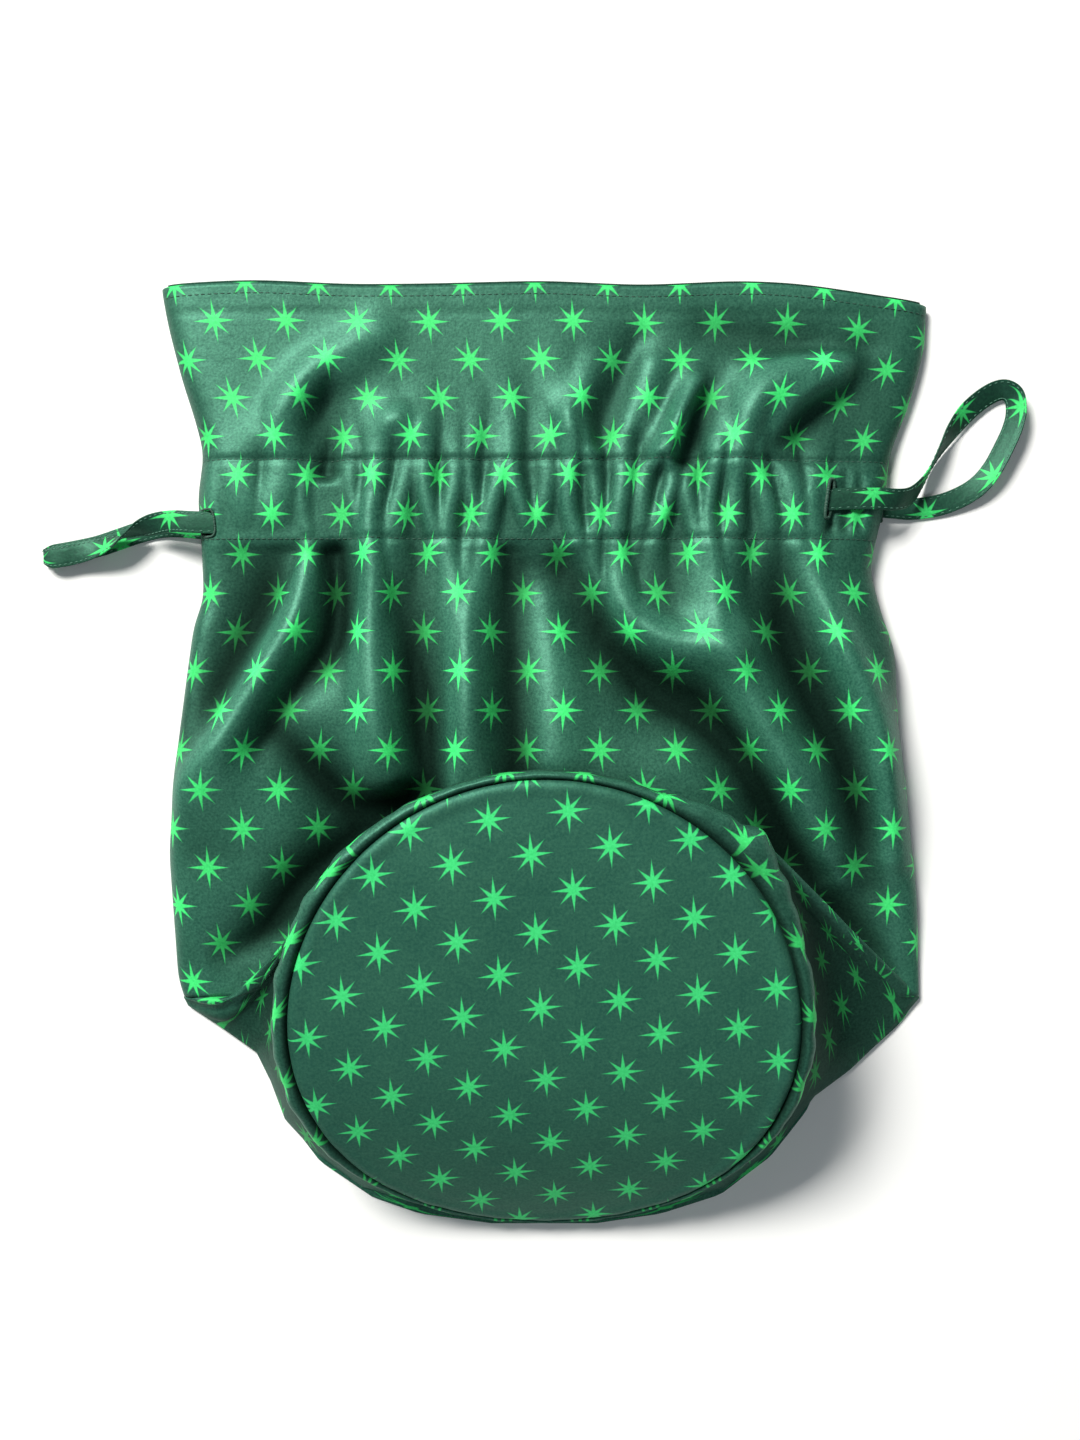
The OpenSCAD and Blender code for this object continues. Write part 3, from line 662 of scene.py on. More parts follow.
def painted_rim_shadow(x, y):
    """How much painted shadow the raised base casts on the wall round it. Seen from
    above its rim is an oval 198 by 188 mm, and the painted shadow falls by e for each 9 mm
    out from there, weaker above its head than at its sides."""
    half_x, half_y, middle_y = 99, 94, -98.6
    away = (np.hypot(x / half_x, (y - middle_y) / half_y) - 1) * 96
    return np.exp(-np.clip(away, 0, None) / 9) * (0.30 + 0.45 * smoothstep(-y, 10, 60))


def spaced(stops, steps):
    """Runs of even steps between stops, joined into one rising list."""
    return np.concatenate([np.linspace(a, b, n, endpoint=False)
                           for a, b, n in zip(stops[:-1], stops[1:], steps)] + [stops[-1:]])


wall_satin = satin("printed_satin", CLOTH_GREEN, CLOTH_DEEP, STAR_GREEN, STAR_LIGHT)
inside_satin = satin("satin_inside", INSIDE_GREEN, INSIDE_DEEP, STAR_GREEN, STAR_LIGHT,
                     printed=False, roughness=0.55)


def wall_print(u, y):
    """Place of a wall point on the flat cloth, in repeats of the print: the share of the
    width times half the cloth's flat width, and y, a little shortened by the folds."""
    return np.stack([(u * HALF_CLOTH + PRINT_X) / STAR_REPEAT,
                     (y - PRINT_Y) * PRINT_SHORTER / STAR_REPEAT], axis=-1)


def taut_share(x, z):
    """The share of the width, counted along the cloth as it goes up and down its folds,
    so the print narrows on a steep side: lengths of the steps added up along each row,
    and scaled to run from -1 to 1."""
    steps = np.sqrt(np.diff(x, axis=1) ** 2 + np.diff(z, axis=1) ** 2)
    far = np.concatenate([np.zeros((len(x), 1)), np.cumsum(steps, axis=1)], axis=1)
    return far / far[:, -1:] * 2 - 1


wall_u = np.concatenate([-np.sin(np.radians(np.linspace(90, 72, 12, endpoint=False))),
                         spaced([-0.951, RIGHT_SLIT[0], RIGHT_SLIT[1], 0.951], [178, 2, 12]),
                         np.sin(np.radians(np.linspace(72, 90, 13)))[1:]])
wall_y = spaced(np.array([CREASE_Y, 80, CASING_TOP + 6, MOUTH_Y]), [88, 46, 40])
U, Y = np.meshgrid(wall_u, wall_y)
X, ROW = place(U, Y)
front_points = np.stack([X, ROW, front_z(U, X, ROW)], axis=2)
# Painted shade: narrow and broad hollows of the folds darken the colour, together with a
# painted shadow of the base's rim, and the painted shade is weaker towards the mouth
folds_only = front_points[..., 2] - soft_lookup(ROW, PUFF, 6) * side_roll(U)
front_painted_shading = np.clip(hollows(wall_u * HALF_W, wall_y, folds_only, 15)
                       + 0.65 * hollows(wall_u * HALF_W, wall_y, folds_only, 34)
                       + painted_rim_shadow(X, ROW) - 0.07, -0.5, 1)
front_painted_shading *= np.where(front_painted_shading > 0, np.interp(ROW, [70, 125], [1, 0.62]), 1)
mid_u = (wall_u[:-1] + wall_u[1:])[None] / 2
mid_y = (wall_y[:-1] + wall_y[1:])[:, None] / 2
right_hole = ((mid_u > RIGHT_SLIT[0]) & (mid_u < RIGHT_SLIT[1])
              & (abs(mid_y - RIGHT_SLIT_Y) < RIGHT_SLIT_HALF))
left_hole = ((mid_u > LEFT_SLIT[0]) & (mid_u < LEFT_SLIT[1])
             & (abs(mid_y - LEFT_SLIT_Y) < LEFT_SLIT_HALF))
front_wall = add_piece(
    "front_wall_cloth", make_mesh("front_wall_cloth", front_points, grid_faces(
        len(wall_y), len(wall_u), keep=~(right_hole | left_hole)),
        wall_print(0.6 * taut_share(X, front_points[..., 2]) + 0.4 * U, Y), front_painted_shading),
    wall_satin, thickness=CLOTH_T, replaces=["front_wall"])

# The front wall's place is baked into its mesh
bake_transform(front_wall)

# ---- Back wall -----------------------------------------------------------------------
# The lower layer of the tube, which lies flat on the table and ends in the rounded line
# where it is sewn to the base.
# The seam to the base, as y and x
BOTTOM_LEFT = [[-196.5, 0], [-196, -22], [-192, -52], [-185, -72], [-170, -94],
               [-149, -110], [-132, -115], [-126, -118], [-112, -138], [-104, -149]]
BOTTOM_RIGHT = [[-196.5, 0], [-196, 22], [-192, 49], [-184, 74], [-168, 95],
                [-149, 110], [-142, 113], [-127, 133], [-112, 149.5], [-101, 157]]
back_u = np.sin(np.radians(np.linspace(-90, 90, 97)))
back_y = np.concatenate([-104 - 92 * np.sin(np.radians(np.linspace(90, 2, 44))),
                         np.linspace(-104, MOUTH_Y, 120)[1:]])
U, Y = np.meshgrid(back_u, back_y)
left = np.where(Y < -100, np.interp(Y, *np.array(BOTTOM_LEFT).T),
                soft_lookup(Y, LEFT_EDGE))
right = np.where(Y < -100, np.interp(Y, *np.array(BOTTOM_RIGHT).T),
                 soft_lookup(Y, RIGHT_EDGE))
X, ROW = place(U, Y)
flat_x = (left + right) / 2 + U * (right - left) / 2
X = np.where(Y < -96, flat_x, X)
lift = 0.25 * gather_height(X * 0.97 + 5, ROW) * (1 - U ** 8)
in_casing = (Y > 86) & (Y < 114)
Z = np.clip(np.minimum(lift, np.where(in_casing, 0.5, 0.9)), 0, None)
back_mesh = make_mesh("back_wall_cloth", np.stack([X, ROW, Z], axis=2),
                      grid_faces(len(back_y), len(back_u))[:, ::-1], wall_print(U, Y))
back_wall = add_piece("back_wall_cloth", back_mesh, wall_satin, "sack",
                      thickness=CLOTH_T, replaces=["back_wall"])

# ---- Base ----------------------------------------------------------------------------
# A round base of satin over stiff board and thin wadding, lined with satin and sewn to the
# tube round its rim. It is folded up over the front, and bent: steep at its foot, nearly
# level at the top.
BASE_R = 99
FOOT_Y, FOOT_Z = -192.6, 6.8
FOOT_SLOPE, KNEE_SLOPE, HEAD_SLOPE = 41, 11, 1      # degrees
KNEE_S = 110            # the knee's distance from the foot, along the base
BASE_D = 2 * BASE_R
PAD_T = 3
PAD_DEPTH = 1.9         # the pad's top under the cover's outer face
PAD_IN = 9.5            # the pad stops this far inside the rim
LINING_DEPTH = 5.6
SEAM_W, SEAM_T = 7.2, 3.2
SEAM_IN = 4.6           # middle of the seam allowances, in from the rim
# The base cover's greens are those of the wall's satin made lighter: painted light, as the
# base tilts away from the window
BASE_GREEN = (0.040, 0.164, 0.104, 1)
BASE_DEEP = (0.017, 0.104, 0.072, 1)
BASE_STAR = (0.028, 0.580, 0.150, 1)
BASE_STAR_LIGHT = (0.070, 0.800, 0.250, 1)
DISC_REPEAT = 30.03     # the print on the base cover, its turn, and its shift
DISC_TURN = math.radians(3.58)
DISC_X, DISC_S = 3.19, 140.04


def slope(s):
    """Slope of the base, in degrees, by the arc length s from its foot: it falls evenly
    to the knee and then more gently to the head."""
    return np.where(s < KNEE_S, FOOT_SLOPE - (FOOT_SLOPE - KNEE_SLOPE) / KNEE_S * s,
                    KNEE_SLOPE - (KNEE_SLOPE - HEAD_SLOPE) / (BASE_D - KNEE_S) * (s - KNEE_S))


PROFILE_S = np.linspace(-20, BASE_D + 20, 1000)
profile_step = PROFILE_S[1] - PROFILE_S[0]
profile_slope = np.radians(slope(PROFILE_S))
PROFILE_Y = np.cumsum(np.cos(profile_slope)) * profile_step
PROFILE_Z = np.cumsum(np.sin(profile_slope)) * profile_step
PROFILE_Y += FOOT_Y - np.interp(0, PROFILE_S, PROFILE_Y)
PROFILE_Z += FOOT_Z - np.interp(0, PROFILE_S, PROFILE_Z)


def on_base(r, a, depth):
    """Point at radius r and turn a, counted from the foot, at a depth under the base's
    outer face. Across, it is r times the sine of a; along, the distance from the foot,
    the base's radius less r times the cosine of a, is followed along the bent profile."""
    s = BASE_R - r * np.cos(a)
    y, z = np.interp(s, PROFILE_S, PROFILE_Y), np.interp(s, PROFILE_S, PROFILE_Z)
    tilt = np.radians(slope(s))
    return np.stack(np.broadcast_arrays(
        r * np.sin(a), y + depth * np.sin(tilt), z - depth * np.cos(tilt)), axis=-1)


def pucker(a, seed):
    """Small uneven waves round the rim, the sum of a few sines of unrelated counts."""
    return (np.sin(23 * a + seed) + 0.8 * np.sin(37 * a + 2.1 * seed)
            + 0.6 * np.sin(61 * a + 0.7 * seed)) / 2.4


def disc_print(r, a):
    """Place of a base point on its own cloth: turned a few degrees from the sack's, with
    rows that lean and bow a little where the cover is stretched."""
    x, s = r * np.sin(a), BASE_R - r * np.cos(a)
    along = s - 0.05 * x + 0.0003 * x ** 2 - DISC_S
    beside = x + DISC_X
    return np.stack([beside * math.cos(DISC_TURN) + along * math.sin(DISC_TURN),
                     along * math.cos(DISC_TURN) - beside * math.sin(DISC_TURN)],
                    axis=-1) / DISC_REPEAT


# The cover is crowned, dips inside its rim, puckers there, and drops to the seam
turn = np.linspace(0, 2 * math.pi, 288, endpoint=False)
share = np.concatenate([np.linspace(0, 0.9, 40, endpoint=False),
                        np.linspace(0.9, 0.985, 16, endpoint=False),
                        np.linspace(0.985, 1, 6)])
R, A = np.meshgrid(share * BASE_R, turn, indexing="ij")
rim = np.clip((R / BASE_R - 0.9) / 0.1, 0, 1)
depth = (-0.8 * (1 - (R / BASE_R) ** 4) - 0.45 * np.exp(-((R - BASE_R + 3.5) / 2.5) ** 2)
         + 3.2 * rim ** 16 - 0.45 * rim ** 2 * (1 - rim ** 8) * pucker(A, 1.0)
         - 0.3 * np.sin(R / 17 + 2 * A) * np.sin(3 * A) * (R / BASE_R) ** 2 * (1 - rim))
# At its foot the cover bulges over the wall below
foot = 1.6 * (R / BASE_R) ** 6 * smoothstep(np.cos(A), 0.35, 0.9)
cover_mesh = make_mesh("base_cover_satin", on_base(R + foot, A, depth + 0.8 * foot * rim ** 4),
                       grid_faces(len(share), len(turn), wrap=True), disc_print(R, A))
base_satin = satin("base_satin", BASE_GREEN, BASE_DEEP, BASE_STAR, BASE_STAR_LIGHT,
                   roughness=0.58)
cover = add_piece("base_cover_satin", cover_mesh, base_satin, "base",
                  thickness=0.6, replaces=["base_cover"])

lining_share = np.linspace(0, 1, 30)
R, A = np.meshgrid(lining_share * (BASE_R - 0.4), turn[::2], indexing="ij")
lining_depth = LINING_DEPTH - 1.2 * np.clip((R / BASE_R - 0.9) / 0.1, 0, 1) ** 2
lining = add_piece("base_lining_satin", make_mesh(
    "base_lining_satin", on_base(R, A, lining_depth),
    grid_faces(len(lining_share), len(turn) // 2, wrap=True)[:, ::-1], disc_print(R, A)),
    inside_satin, "base", thickness=0.7, replaces=["base_lining"])

# Wadding pad: a thin crowned round cushion between the board and the lining
loop_t = np.linspace(0, math.pi, 33)
pad_r = (BASE_R - PAD_IN) * np.sin(loop_t) ** 0.5
pad_depth = (PAD_DEPTH + PAD_T / 2
             - np.cos(loop_t) * (PAD_T / 2 - 0.1) * np.sin(loop_t) ** 0.15)
R, A = np.meshgrid(pad_r, turn[::3], indexing="ij")
DEPTH = np.broadcast_to(pad_depth[:, None], R.shape)


def wadding_finish(name):
    """White wadding: matt and loosely matted, with fine hollows between its fibres."""
    material, shader, start = new_finish(name, {"Roughness": 0.95})
    place = start.make("ShaderNodeTexCoord", out="Object")
    cells = start.make("ShaderNodeTexVoronoi", inputs={"Vector": place, "Scale": 900.0},
                       out="Distance")
    cells.mix((0.62, 0.61, 0.57, 1), (0.80, 0.79, 0.76, 1)).feed(shader, "Base Color")
    start.make("ShaderNodeBump", inputs={"Height": cells, "Strength": 0.5,
                                         "Distance": 0.0004}).feed(shader, "Normal")
    return material


pad = add_piece("base_wadding_pad", make_mesh(
    "base_wadding_pad", on_base(R, A, DEPTH),
    grid_faces(len(pad_r), len(turn[::3]), wrap=True)), wadding_finish("white_wadding"),
    "base", replaces=["base_pad"])

# Seam allowances: a folded ring of cloth layers inside the rim
loop_t = np.linspace(0, 2 * math.pi, 25)
seam_r = BASE_R - SEAM_IN + SEAM_W / 2 * np.cos(loop_t)
seam_depth = 2.9 - SEAM_T / 2 * np.sign(np.sin(loop_t)) * np.abs(np.sin(loop_t)) ** 0.4
R, A = np.meshgrid(seam_r, turn[::2], indexing="ij")
DEPTH = np.broadcast_to(seam_depth[:, None], R.shape) + 0.12 * pucker(A, 3.0)
add_piece("base_seam_allowance", make_mesh(
    "base_seam_allowance", on_base(R, A, DEPTH),
    grid_faces(len(seam_r), len(turn[::2]), wrap=True)[:, ::-1], disc_print(R, A)),
    inside_satin, "base", replaces=["base_seam"])

# The stiffener keeps its CAD shape and gets a grey board finish
board, shader, start = new_finish("grey_board", {"Roughness": 0.9})
fibre = start.make("ShaderNodeTexNoise", inputs={
    "Vector": start.make("ShaderNodeTexCoord", out="Object"), "Scale": 700.0,
    "Detail": 4.0}, out="Fac")
fibre.mix((0.24, 0.23, 0.21, 1), (0.42, 0.40, 0.37, 1)).feed(shader, "Base Color")
for material_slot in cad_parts["base_stiffener"].material_slots:
    material_slot.material = board

# ---- Folded lower wall ---------------------------------------------------------------
# The lower end of the tube. It is sewn to the rim of the base and rolls out round it as
# a soft puckered edge. At both sides it folds down to a corner, and across the top it is
# tucked back under the base to the crease of the front wall. Places round the rim are
# turns in degrees, counted from the foot of the base towards the right.
CORNERS = (134, 226)    # where the tuck starts at the right and ends at the left
# How far the roll stands out from the rim at each turn
ROLL_W = [[0, 0.4], [30, 0.4], [48, 1.5], [62, 3.8], [75, 4.6], [106, 4.6], [118, 7],
          [131, 14], [143, 9], [155, 2.5], [180, 1.2], [205, 2], [218, 3.6], [235, 5],
          [285, 5], [305, 4.5], [320, 1.5], [340, 0.4], [360, 0.4]]
# The wall's outer line, as turn, x and y, where it isn't tucked
OUTER = [[0, 0, -194], [20, 37, -192], [40, 76, -180], [53, 97, -163], [66, 113, -142],
         [90, 128, -131], [112, 146, -114], [134, 157, -101],
         [226, -149, -104], [246, -137, -112], [266, -120, -124], [280, -114, -136],
         [294, -108, -152], [307, -95, -166], [320, -76, -180], [340, -37, -192],
         [360, 0, -194]]
close = np.linspace(-0.8, 0.8, 5)
wall_a = np.unique(np.concatenate(
    [np.arange(0, 360, 1.25)] + [np.round(corner + close, 1) for corner in CORNERS]))
turned = np.radians(wall_a)
keys, outer_x, outer_y = np.array(OUTER, float).T
ox, oy = np.interp(wall_a, keys, outer_x), np.interp(wall_a, keys, outer_y)
tucked = (wall_a >= CORNERS[0]) & (wall_a <= CORNERS[1])
crease_u = np.interp(wall_a, CORNERS, [1, -1])
crease_x, crease_row = place(crease_u, np.full(crease_u.shape, float(CREASE_Y)))
crease_z = front_z(crease_u, crease_x, crease_row)
ox, oy = np.where(tucked, crease_x, ox), np.where(tucked, CREASE_Y - 0.4, oy)
oz = np.where(tucked, crease_z - 0.3, 1.2)
outer = np.stack([ox, oy, oz], axis=-1)
roll = soft_lookup(wall_a, ROLL_W, 3) * (1 + 0.16 * pucker(turned, 5.0))
ripple = 0.5 * pucker(turned * 1.3, 2.0)
# From the sewn rim out over the top of the roll and down behind it
rings = [on_base(BASE_R - 1.4, turned, 3.6),
         on_base(BASE_R + 0.6, turned, 2.6),
         on_base(BASE_R + 0.9 + 0.08 * roll, turned, 0.9 - 0.05 * roll),
         on_base(BASE_R + 0.9 + 0.45 * roll, turned, -0.06 * roll + 0.1 - 0.6 * ripple),
         on_base(BASE_R + 0.9 + 0.85 * roll, turned, 0.16 * roll + 0.5 - ripple),
         on_base(BASE_R + 0.9 + roll, turned, 0.5 * roll + 1.8 - ripple),
         on_base(BASE_R + 0.6 + 0.85 * roll, turned, roll + 4.2)]
roll_end = rings[-1]
# The edge that runs to the right corner is taut, and the cloth below it falls in behind
# the roll. On the left the edge hugs the rim before it turns out to its corner.
lift = 3 * np.exp(-((wall_a - 133) / 7) ** 2)
hug = np.exp(-((wall_a - 228) / np.where(wall_a < 228, 12, 20)) ** 2)
sag = 15 * (np.exp(-((wall_a - 104) / 22) ** 2)
            * (1 - np.exp(-((wall_a - CORNERS[0]) / 6) ** 2))
            + np.exp(-((wall_a - 256) / 18) ** 2) * (wall_a > CORNERS[1]))
# Painted shade: the flaps beside the base are darkened as if in the shade of the roll, and
# the taut edges that run to the two corners get a painted highlight
painted_edge_light = np.exp(-((wall_a - 132) / 3.0) ** 2) + np.exp(-((wall_a - 227) / 3.5) ** 2)
flap_painted_shade = 0.85 * smoothstep(180 - np.abs(180 - wall_a), 30, 60) - 1.2 * painted_edge_light
# Painted shade for each ring from the sewn rim out, with a painted highlight over the top of
# the roll
painted_shades = [np.full(len(wall_a), shade) for shade in (1, 1, 0.8, 0.1, -0.2, 0.1, 0.7)]
for t, weight, pull, drop in ((0.15, 0.75, 5, 2), (0.35, 1.0, 13, 5), (0.6, 0.7, 17, 8),
                              (0.8, 0.3, 15, 4)):
    ring = roll_end * (1 - t) + outer * t
    ring[:, 2] += (lift - sag) * weight - hug * drop
    ring[:, 1] -= hug * pull
    rings.append(ring)
    painted_shades.append(flap_painted_shade * (1 - 0.55 * t))
rings.append(outer)
painted_shades.append(flap_painted_shade * 0.3)
folded = smooth_path(np.stack(rings), 61)
folded[..., 2] = np.maximum(folded[..., 2], 0.9)
folded_painted_shading = np.clip(smooth_path(np.stack(painted_shades), 61), -0.45, 1)
# The print runs round the rim at both sides and straight across under the base's head,
# counted outward along the cloth, and the two meet in the sharp edges to the corners
steps = np.diff(folded, axis=0)
outward, level = [np.concatenate([np.zeros((1, len(wall_a))), np.cumsum(
    np.linalg.norm(part, axis=2), axis=0)]) for part in (steps, steps[..., 1:])]
round_rim = np.cumsum(np.linalg.norm(
    folded - np.roll(folded, 1, axis=1), axis=2), axis=1)
round_rim = np.where(wall_a < 180, round_rim - round_rim[:, :1],
                     round_rim - round_rim[:, -1:])
side_cloth = np.stack([round_rim, outward + 7], axis=2)
head_cloth = np.stack([folded[..., 0], level + 7], axis=2)
cut = [int(np.argmin(abs(wall_a - corner))) for corner in CORNERS]
order = np.concatenate([np.arange(cut[0] + 1), np.arange(cut[0], cut[1] + 1),
                        np.arange(cut[1], len(wall_a))])
on_head = np.zeros(len(order), bool)
on_head[cut[0] + 1:cut[1] + 2] = True
cloth = np.where(on_head[None, :, None], head_cloth[:, order], side_cloth[:, order])
folded_mesh = make_mesh("folded_wall_cloth", folded[:, order], grid_faces(
    len(folded), len(order), wrap=True), cloth / STAR_REPEAT, folded_painted_shading[:, order])
folded_wall = add_piece("folded_wall_cloth", folded_mesh, wall_satin,
                        thickness=0.7, replaces=["folded_wall"])
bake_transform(folded_wall)

# Behind the flaps a fold of the same cloth stays down with the back wall. It lies close
# under them, and closes the pleats at both sides when the base is lifted
behind = np.flatnonzero((wall_a < 108) | (wall_a > 254))
behind = np.roll(behind, np.count_nonzero(wall_a > 254))
fold_rows = folded[44:, behind]
inward = unit(fold_rows[..., :2] - [0, -98]) * 2.0
fold_rows = np.concatenate([fold_rows[..., :2] - inward,
                            np.maximum(fold_rows[..., 2:] - 1.2, 0.8)], axis=2)
# Its colour carries an even painted shade, as under the flaps
side_fold = add_piece("folded_wall_inner_fold", make_mesh(
    "folded_wall_inner_fold", fold_rows, grid_faces(*fold_rows.shape[:2]),
    side_cloth[44:, behind] / STAR_REPEAT, np.full(fold_rows.shape[:2], 0.35)), wall_satin,
    "sack", thickness=0.5)

# ---- Mouth hems, casing strips and side seams ----------------------------------------
# The mouth is turned in once and stitched. Behind the two rows of the casing a strip of
# the same satin makes the channel, front and back. The side seams are pressed flat.
inner_u = np.linspace(-0.975, 0.975, 150)


def add_strip(node, us, rows, heights, thickness, under_front=False):
    """A strip inside the sack: each row lies at its own height over the table, or at
    its own depth, a height below 0, under the front wall's outer face."""
    u, y = np.meshgrid(us, rows)
    x, row = place(u, y)
    z = np.broadcast_to(np.asarray(heights)[:, None], x.shape)
    if under_front:
        z = z + front_z(u, x, row)
    name = node + "_cloth"
    mesh = make_mesh(name, np.stack([x, row, z], axis=2), grid_faces(len(rows), len(us)),
                     wall_print(u, y))
    return add_piece(name, mesh, inside_satin, "sack", thickness=thickness,
                     replaces=[node])


# The hem's raw edge is at its first row, and its last rows turn up into the mouth's edge
hem_rows = np.array([183, 185, 187, 189, 191, 193, 194.2, 194.8, 195.1, 195.1])
hem_front = add_strip("mouth_hem_front", inner_u, hem_rows,
                      [-1.5, -1.4, -1.35, -1.35, -1.35, -1.35, -1.3, -1.05, -0.6, -0.1],
                      0.6, under_front=True)
hem_back = add_strip("mouth_hem_back", inner_u, hem_rows,
                     [1.5, 1.4, 1.35, 1.35, 1.35, 1.35, 1.3, 1.1, 0.8, 0.4], 0.5)

# Between its two rows of stitches the strip stands off, which makes room for the ribbons
strip_rows = np.concatenate([[CASING_Y - 3, CASING_Y - 1, CASING_Y, CASING_Y + 1],
                             np.linspace(CASING_Y + 3, CASING_TOP - 3, 14),
                             [CASING_TOP - 1, CASING_TOP, CASING_TOP + 1, CASING_TOP + 3]])
inside = np.clip(np.minimum(strip_rows - CASING_Y, CASING_TOP - strip_rows) / 2.5, 0, 1)
casing_front = add_strip("casing_strip_front", np.linspace(-0.87, 0.79, 140), strip_rows,
                         -0.9 - 2.3 * inside, 0.5, under_front=True)
casing_back = add_strip("casing_strip_back", np.linspace(-0.86, 0.86, 120), strip_rows,
                        1.7 + 1.9 * inside, 0.5)

# Each side seam's allowance is a thin flat band along its edge, six points round
for hand, edge, sign in (("left", LEFT_EDGE, 1), ("right", RIGHT_EDGE, -1)):
    rows = np.linspace(CREASE_Y + 2, MOUTH_Y - 10, 120)
    wide = np.array([0.3, 2.5, 5.0, 5.0, 2.5, 0.3])
    tall = np.array([0.85, 0.85, 0.9, 1.6, 1.65, 1.5])
    x = soft_lookup(rows, edge)[:, None] + sign * wide[None]
    points = np.stack([x, np.broadcast_to(rows[:, None], x.shape),
                       np.broadcast_to(tall[None], x.shape)], axis=2)
    faces = grid_faces(len(rows), 6, wrap=True)
    seam = make_mesh(f"side_seam_{hand}_allowance", points, faces if sign > 0
                     else faces[:, ::-1], wall_print(x / HALF_W, points[..., 1]))
    add_piece(f"side_seam_{hand}_allowance", seam, inside_satin, "sack",
              replaces=[f"side_seam_{hand}"])

# ---- Stitch rows and buttonholes -----------------------------------------------------
# Dark green machine stitching: one row below the mouth and one along each edge of the
# casing, front and back. The buttonholes are slits bound over with close thread.
STITCH_PITCH = 2.5
STITCH_REACH = 0.985    # the front rows run out to this share of the half-width


def front_stitches(y):
    """Stitch centres on the front wall's face, with the way along the row and the way
    out of the cloth at each, taken from small steps both ways over the face."""
    count = int(2 * STITCH_REACH * HALF_W / STITCH_PITCH)
    us = np.linspace(-STITCH_REACH, STITCH_REACH, count)
    ys = np.full(count, float(y))

    def at(u, y):
        x, row = place(u, y)
        return np.stack([x, row, front_z(u, x, row)], axis=1)

    centre = at(us, ys)
    along = unit(at(us + 0.003, ys) - at(us - 0.003, ys))
    side = unit(at(us, ys + 0.5) - at(us, ys - 0.5))
    up = unit(np.cross(along, side))
    return centre + 0.06 * up, along, up


def add_stitches(name, rows, replaces):
    """One piece from all the stitches of some rows."""
    centre, along, up = (np.concatenate(part) for part in zip(*rows))
    return add_piece(name, stitch_mesh(name, centre, along, up), sewing_thread, "sack",
                     replaces=replaces)


def back_stitches(y, height):
    """Stitch centres on the flat back wall, evenly spaced across it."""
    count = int(2 * HALF_W / STITCH_PITCH)
    x, row = place(np.linspace(-0.97, 0.97, count), np.full(count, float(y)))
    centre = np.stack([x, row, np.full(count, height)], axis=1)
    along = unit(np.gradient(centre, axis=0))
    return centre, along, np.broadcast_to([0.0, 0, 1], centre.shape)


add_stitches("casing_stitches_front", [front_stitches(y) for y in CASING_ROWS],
             ["casing_thread_front"])
add_stitches("hem_stitches_front", [front_stitches(HEM_ROW)], ["hem_thread_front"])
add_stitches("casing_stitches_back", [back_stitches(y, 1.75) for y in CASING_ROWS],
             ["casing_thread_back"])
add_stitches("hem_stitches_back", [back_stitches(HEM_ROW, 1.4)], ["hem_thread_back"])


def bound_edge(name, path, up, radius):
    """Close buttonhole stitching round a closed path: a cord whose thickness swells and
    shrinks with each wrap of the thread."""
    count = len(path)
    along = unit(np.roll(path, -1, axis=0) - np.roll(path, 1, axis=0))
    side = unit(np.cross(along, up))
    over = np.cross(side, along)
    ring = np.linspace(0, 2 * math.pi, 8, endpoint=False)
    swell = radius * (1 + 0.14 * np.cos(np.arange(count) * math.pi / 2))
    points = (path[:, None] + swell[:, None, None]
              * (np.cos(ring)[None, :, None] * side[:, None]
                 + np.sin(ring)[None, :, None] * over[:, None]))
    closed = np.concatenate([points, points[:1]])
    return make_mesh(name, closed, grid_faces(count + 1, 8, wrap=True))


def oval(half_a, half_b, count=240):
    """A long rounded slot outline: an ellipse squared off towards its box."""
    t = np.linspace(0, 2 * math.pi, count, endpoint=False)
    return (half_a * np.sign(np.cos(t)) * np.abs(np.cos(t)) ** 0.6,
            half_b * np.sign(np.sin(t)) * np.abs(np.sin(t)) ** 0.6)


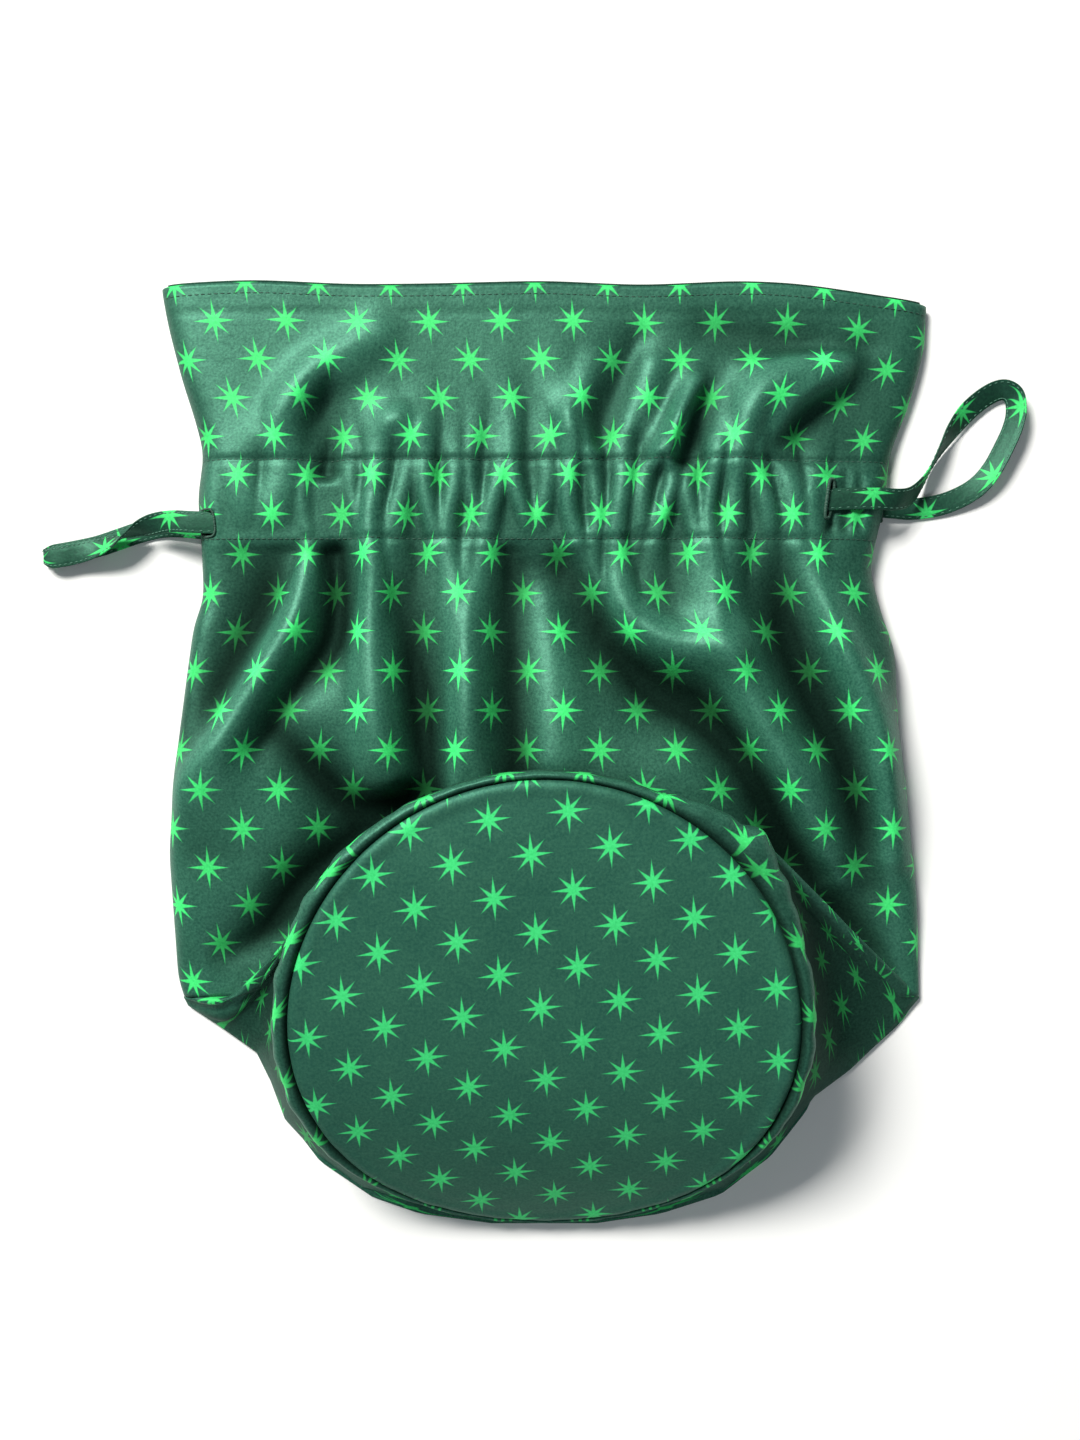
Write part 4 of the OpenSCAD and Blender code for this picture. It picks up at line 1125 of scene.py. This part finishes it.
for hand, span, slit_y, half, thick in (
        ("right", RIGHT_SLIT, RIGHT_SLIT_Y, RIGHT_SLIT_HALF, 0.75),
        ("left", LEFT_SLIT, LEFT_SLIT_Y, LEFT_SLIT_HALF, 0.5)):
    du, dy = oval((span[1] - span[0]) / 2 + 0.003, half + 0.4)
    u, y = (span[0] + span[1]) / 2 + du, slit_y + dy
    x, row = place(u, y)
    path = np.stack([x, row, front_z(u, x, row) + 0.1], axis=1)
    name = f"buttonhole_{hand}_front_binding"
    add_piece(name, bound_edge(name, path, np.array([0, 0, 1.0]), thick), sewing_thread,
              "sack", replaces=[f"buttonhole_{hand}_front"])
for hand, x0, slit_y in (("right", 141, 104.5), ("left", -142.2, 95)):
    dy, dz = oval(6.2, 1.35)
    path = np.stack([np.full(len(dy), float(x0)), slit_y + dy, 2.1 + dz], axis=1)
    name = f"buttonhole_{hand}_back_binding"
    add_piece(name, bound_edge(name, path, np.array([1.0, 0, 0]), 0.6), sewing_thread,
              "sack", replaces=[f"buttonhole_{hand}_back"])

# ---- Table and light -----------------------------------------------------------------
# A plain white table, one large warm window light beyond the mouth to the left, and a
# cooler, weaker fill from the base side. The table is whole out to TABLE_R from the
# sack, and fades into the white surroundings by twice that, where it would be dim.
TABLE_R = 0.6
table_mesh = bpy.data.meshes.new("table")
table_mesh.from_pydata([(-4, -4, 0), (4, -4, 0), (4, 4, 0), (-4, 4, 0)], [], [(0, 1, 2, 3)])
table = add_object("table", table_mesh)
white, shader, start = new_finish("white_table", {
    "Base Color": (0.93, 0.93, 0.93, 1), "Roughness": 0.8})
far = start.make("ShaderNodeVectorMath", {"operation": "LENGTH"},
                 {0: start.make("ShaderNodeTexCoord", out="Object")}, out="Value")
far.math("SUBTRACT", 2, far / TABLE_R, clamp=True).feed(shader, "Alpha")
table_mesh.materials.append(white)


def add_light(name, spot, size, power, colour):
    """A flat light at a spot, turned to face the origin."""
    data = bpy.data.lights.new(name, "AREA")
    data.shape = "RECTANGLE"
    data.size, data.size_y = size
    data.energy = power
    data.color = colour
    light = add_object(name, data)
    light.location = spot
    x, y, z = spot
    light.rotation_euler = (math.atan2(math.hypot(x, y), z), 0,
                            math.atan2(-y, -x) - math.pi / 2)


add_light("window", (-1.35, 1.9, 2.05), (1.3, 0.9), 170, (1.0, 0.98, 0.93))
add_light("fill", (0.1, -1.5, 1.4), (1.2, 0.7), 6, (0.88, 0.96, 1.0))
# The surroundings light the sack dimly, and are white where they are seen
sky = bpy.data.worlds.new("sky")
sky.use_nodes = True
start = Signal(sky.node_tree)
dim, seen = [start.make("ShaderNodeBackground", inputs={"Color": colour, "Strength": power})
             for colour, power in (((0.86, 0.95, 1, 1), 0.13), ((1, 1, 1, 1), 0.93))]
both = start.make("ShaderNodeMixShader", inputs={
    0: start.make("ShaderNodeLightPath", out="Is Camera Ray"), 1: dim, 2: seen})
both.feed(sky.node_tree.nodes["World Output"], "Surface")
bpy.context.scene.world = sky
bpy.context.scene.view_settings.view_transform = "Standard"
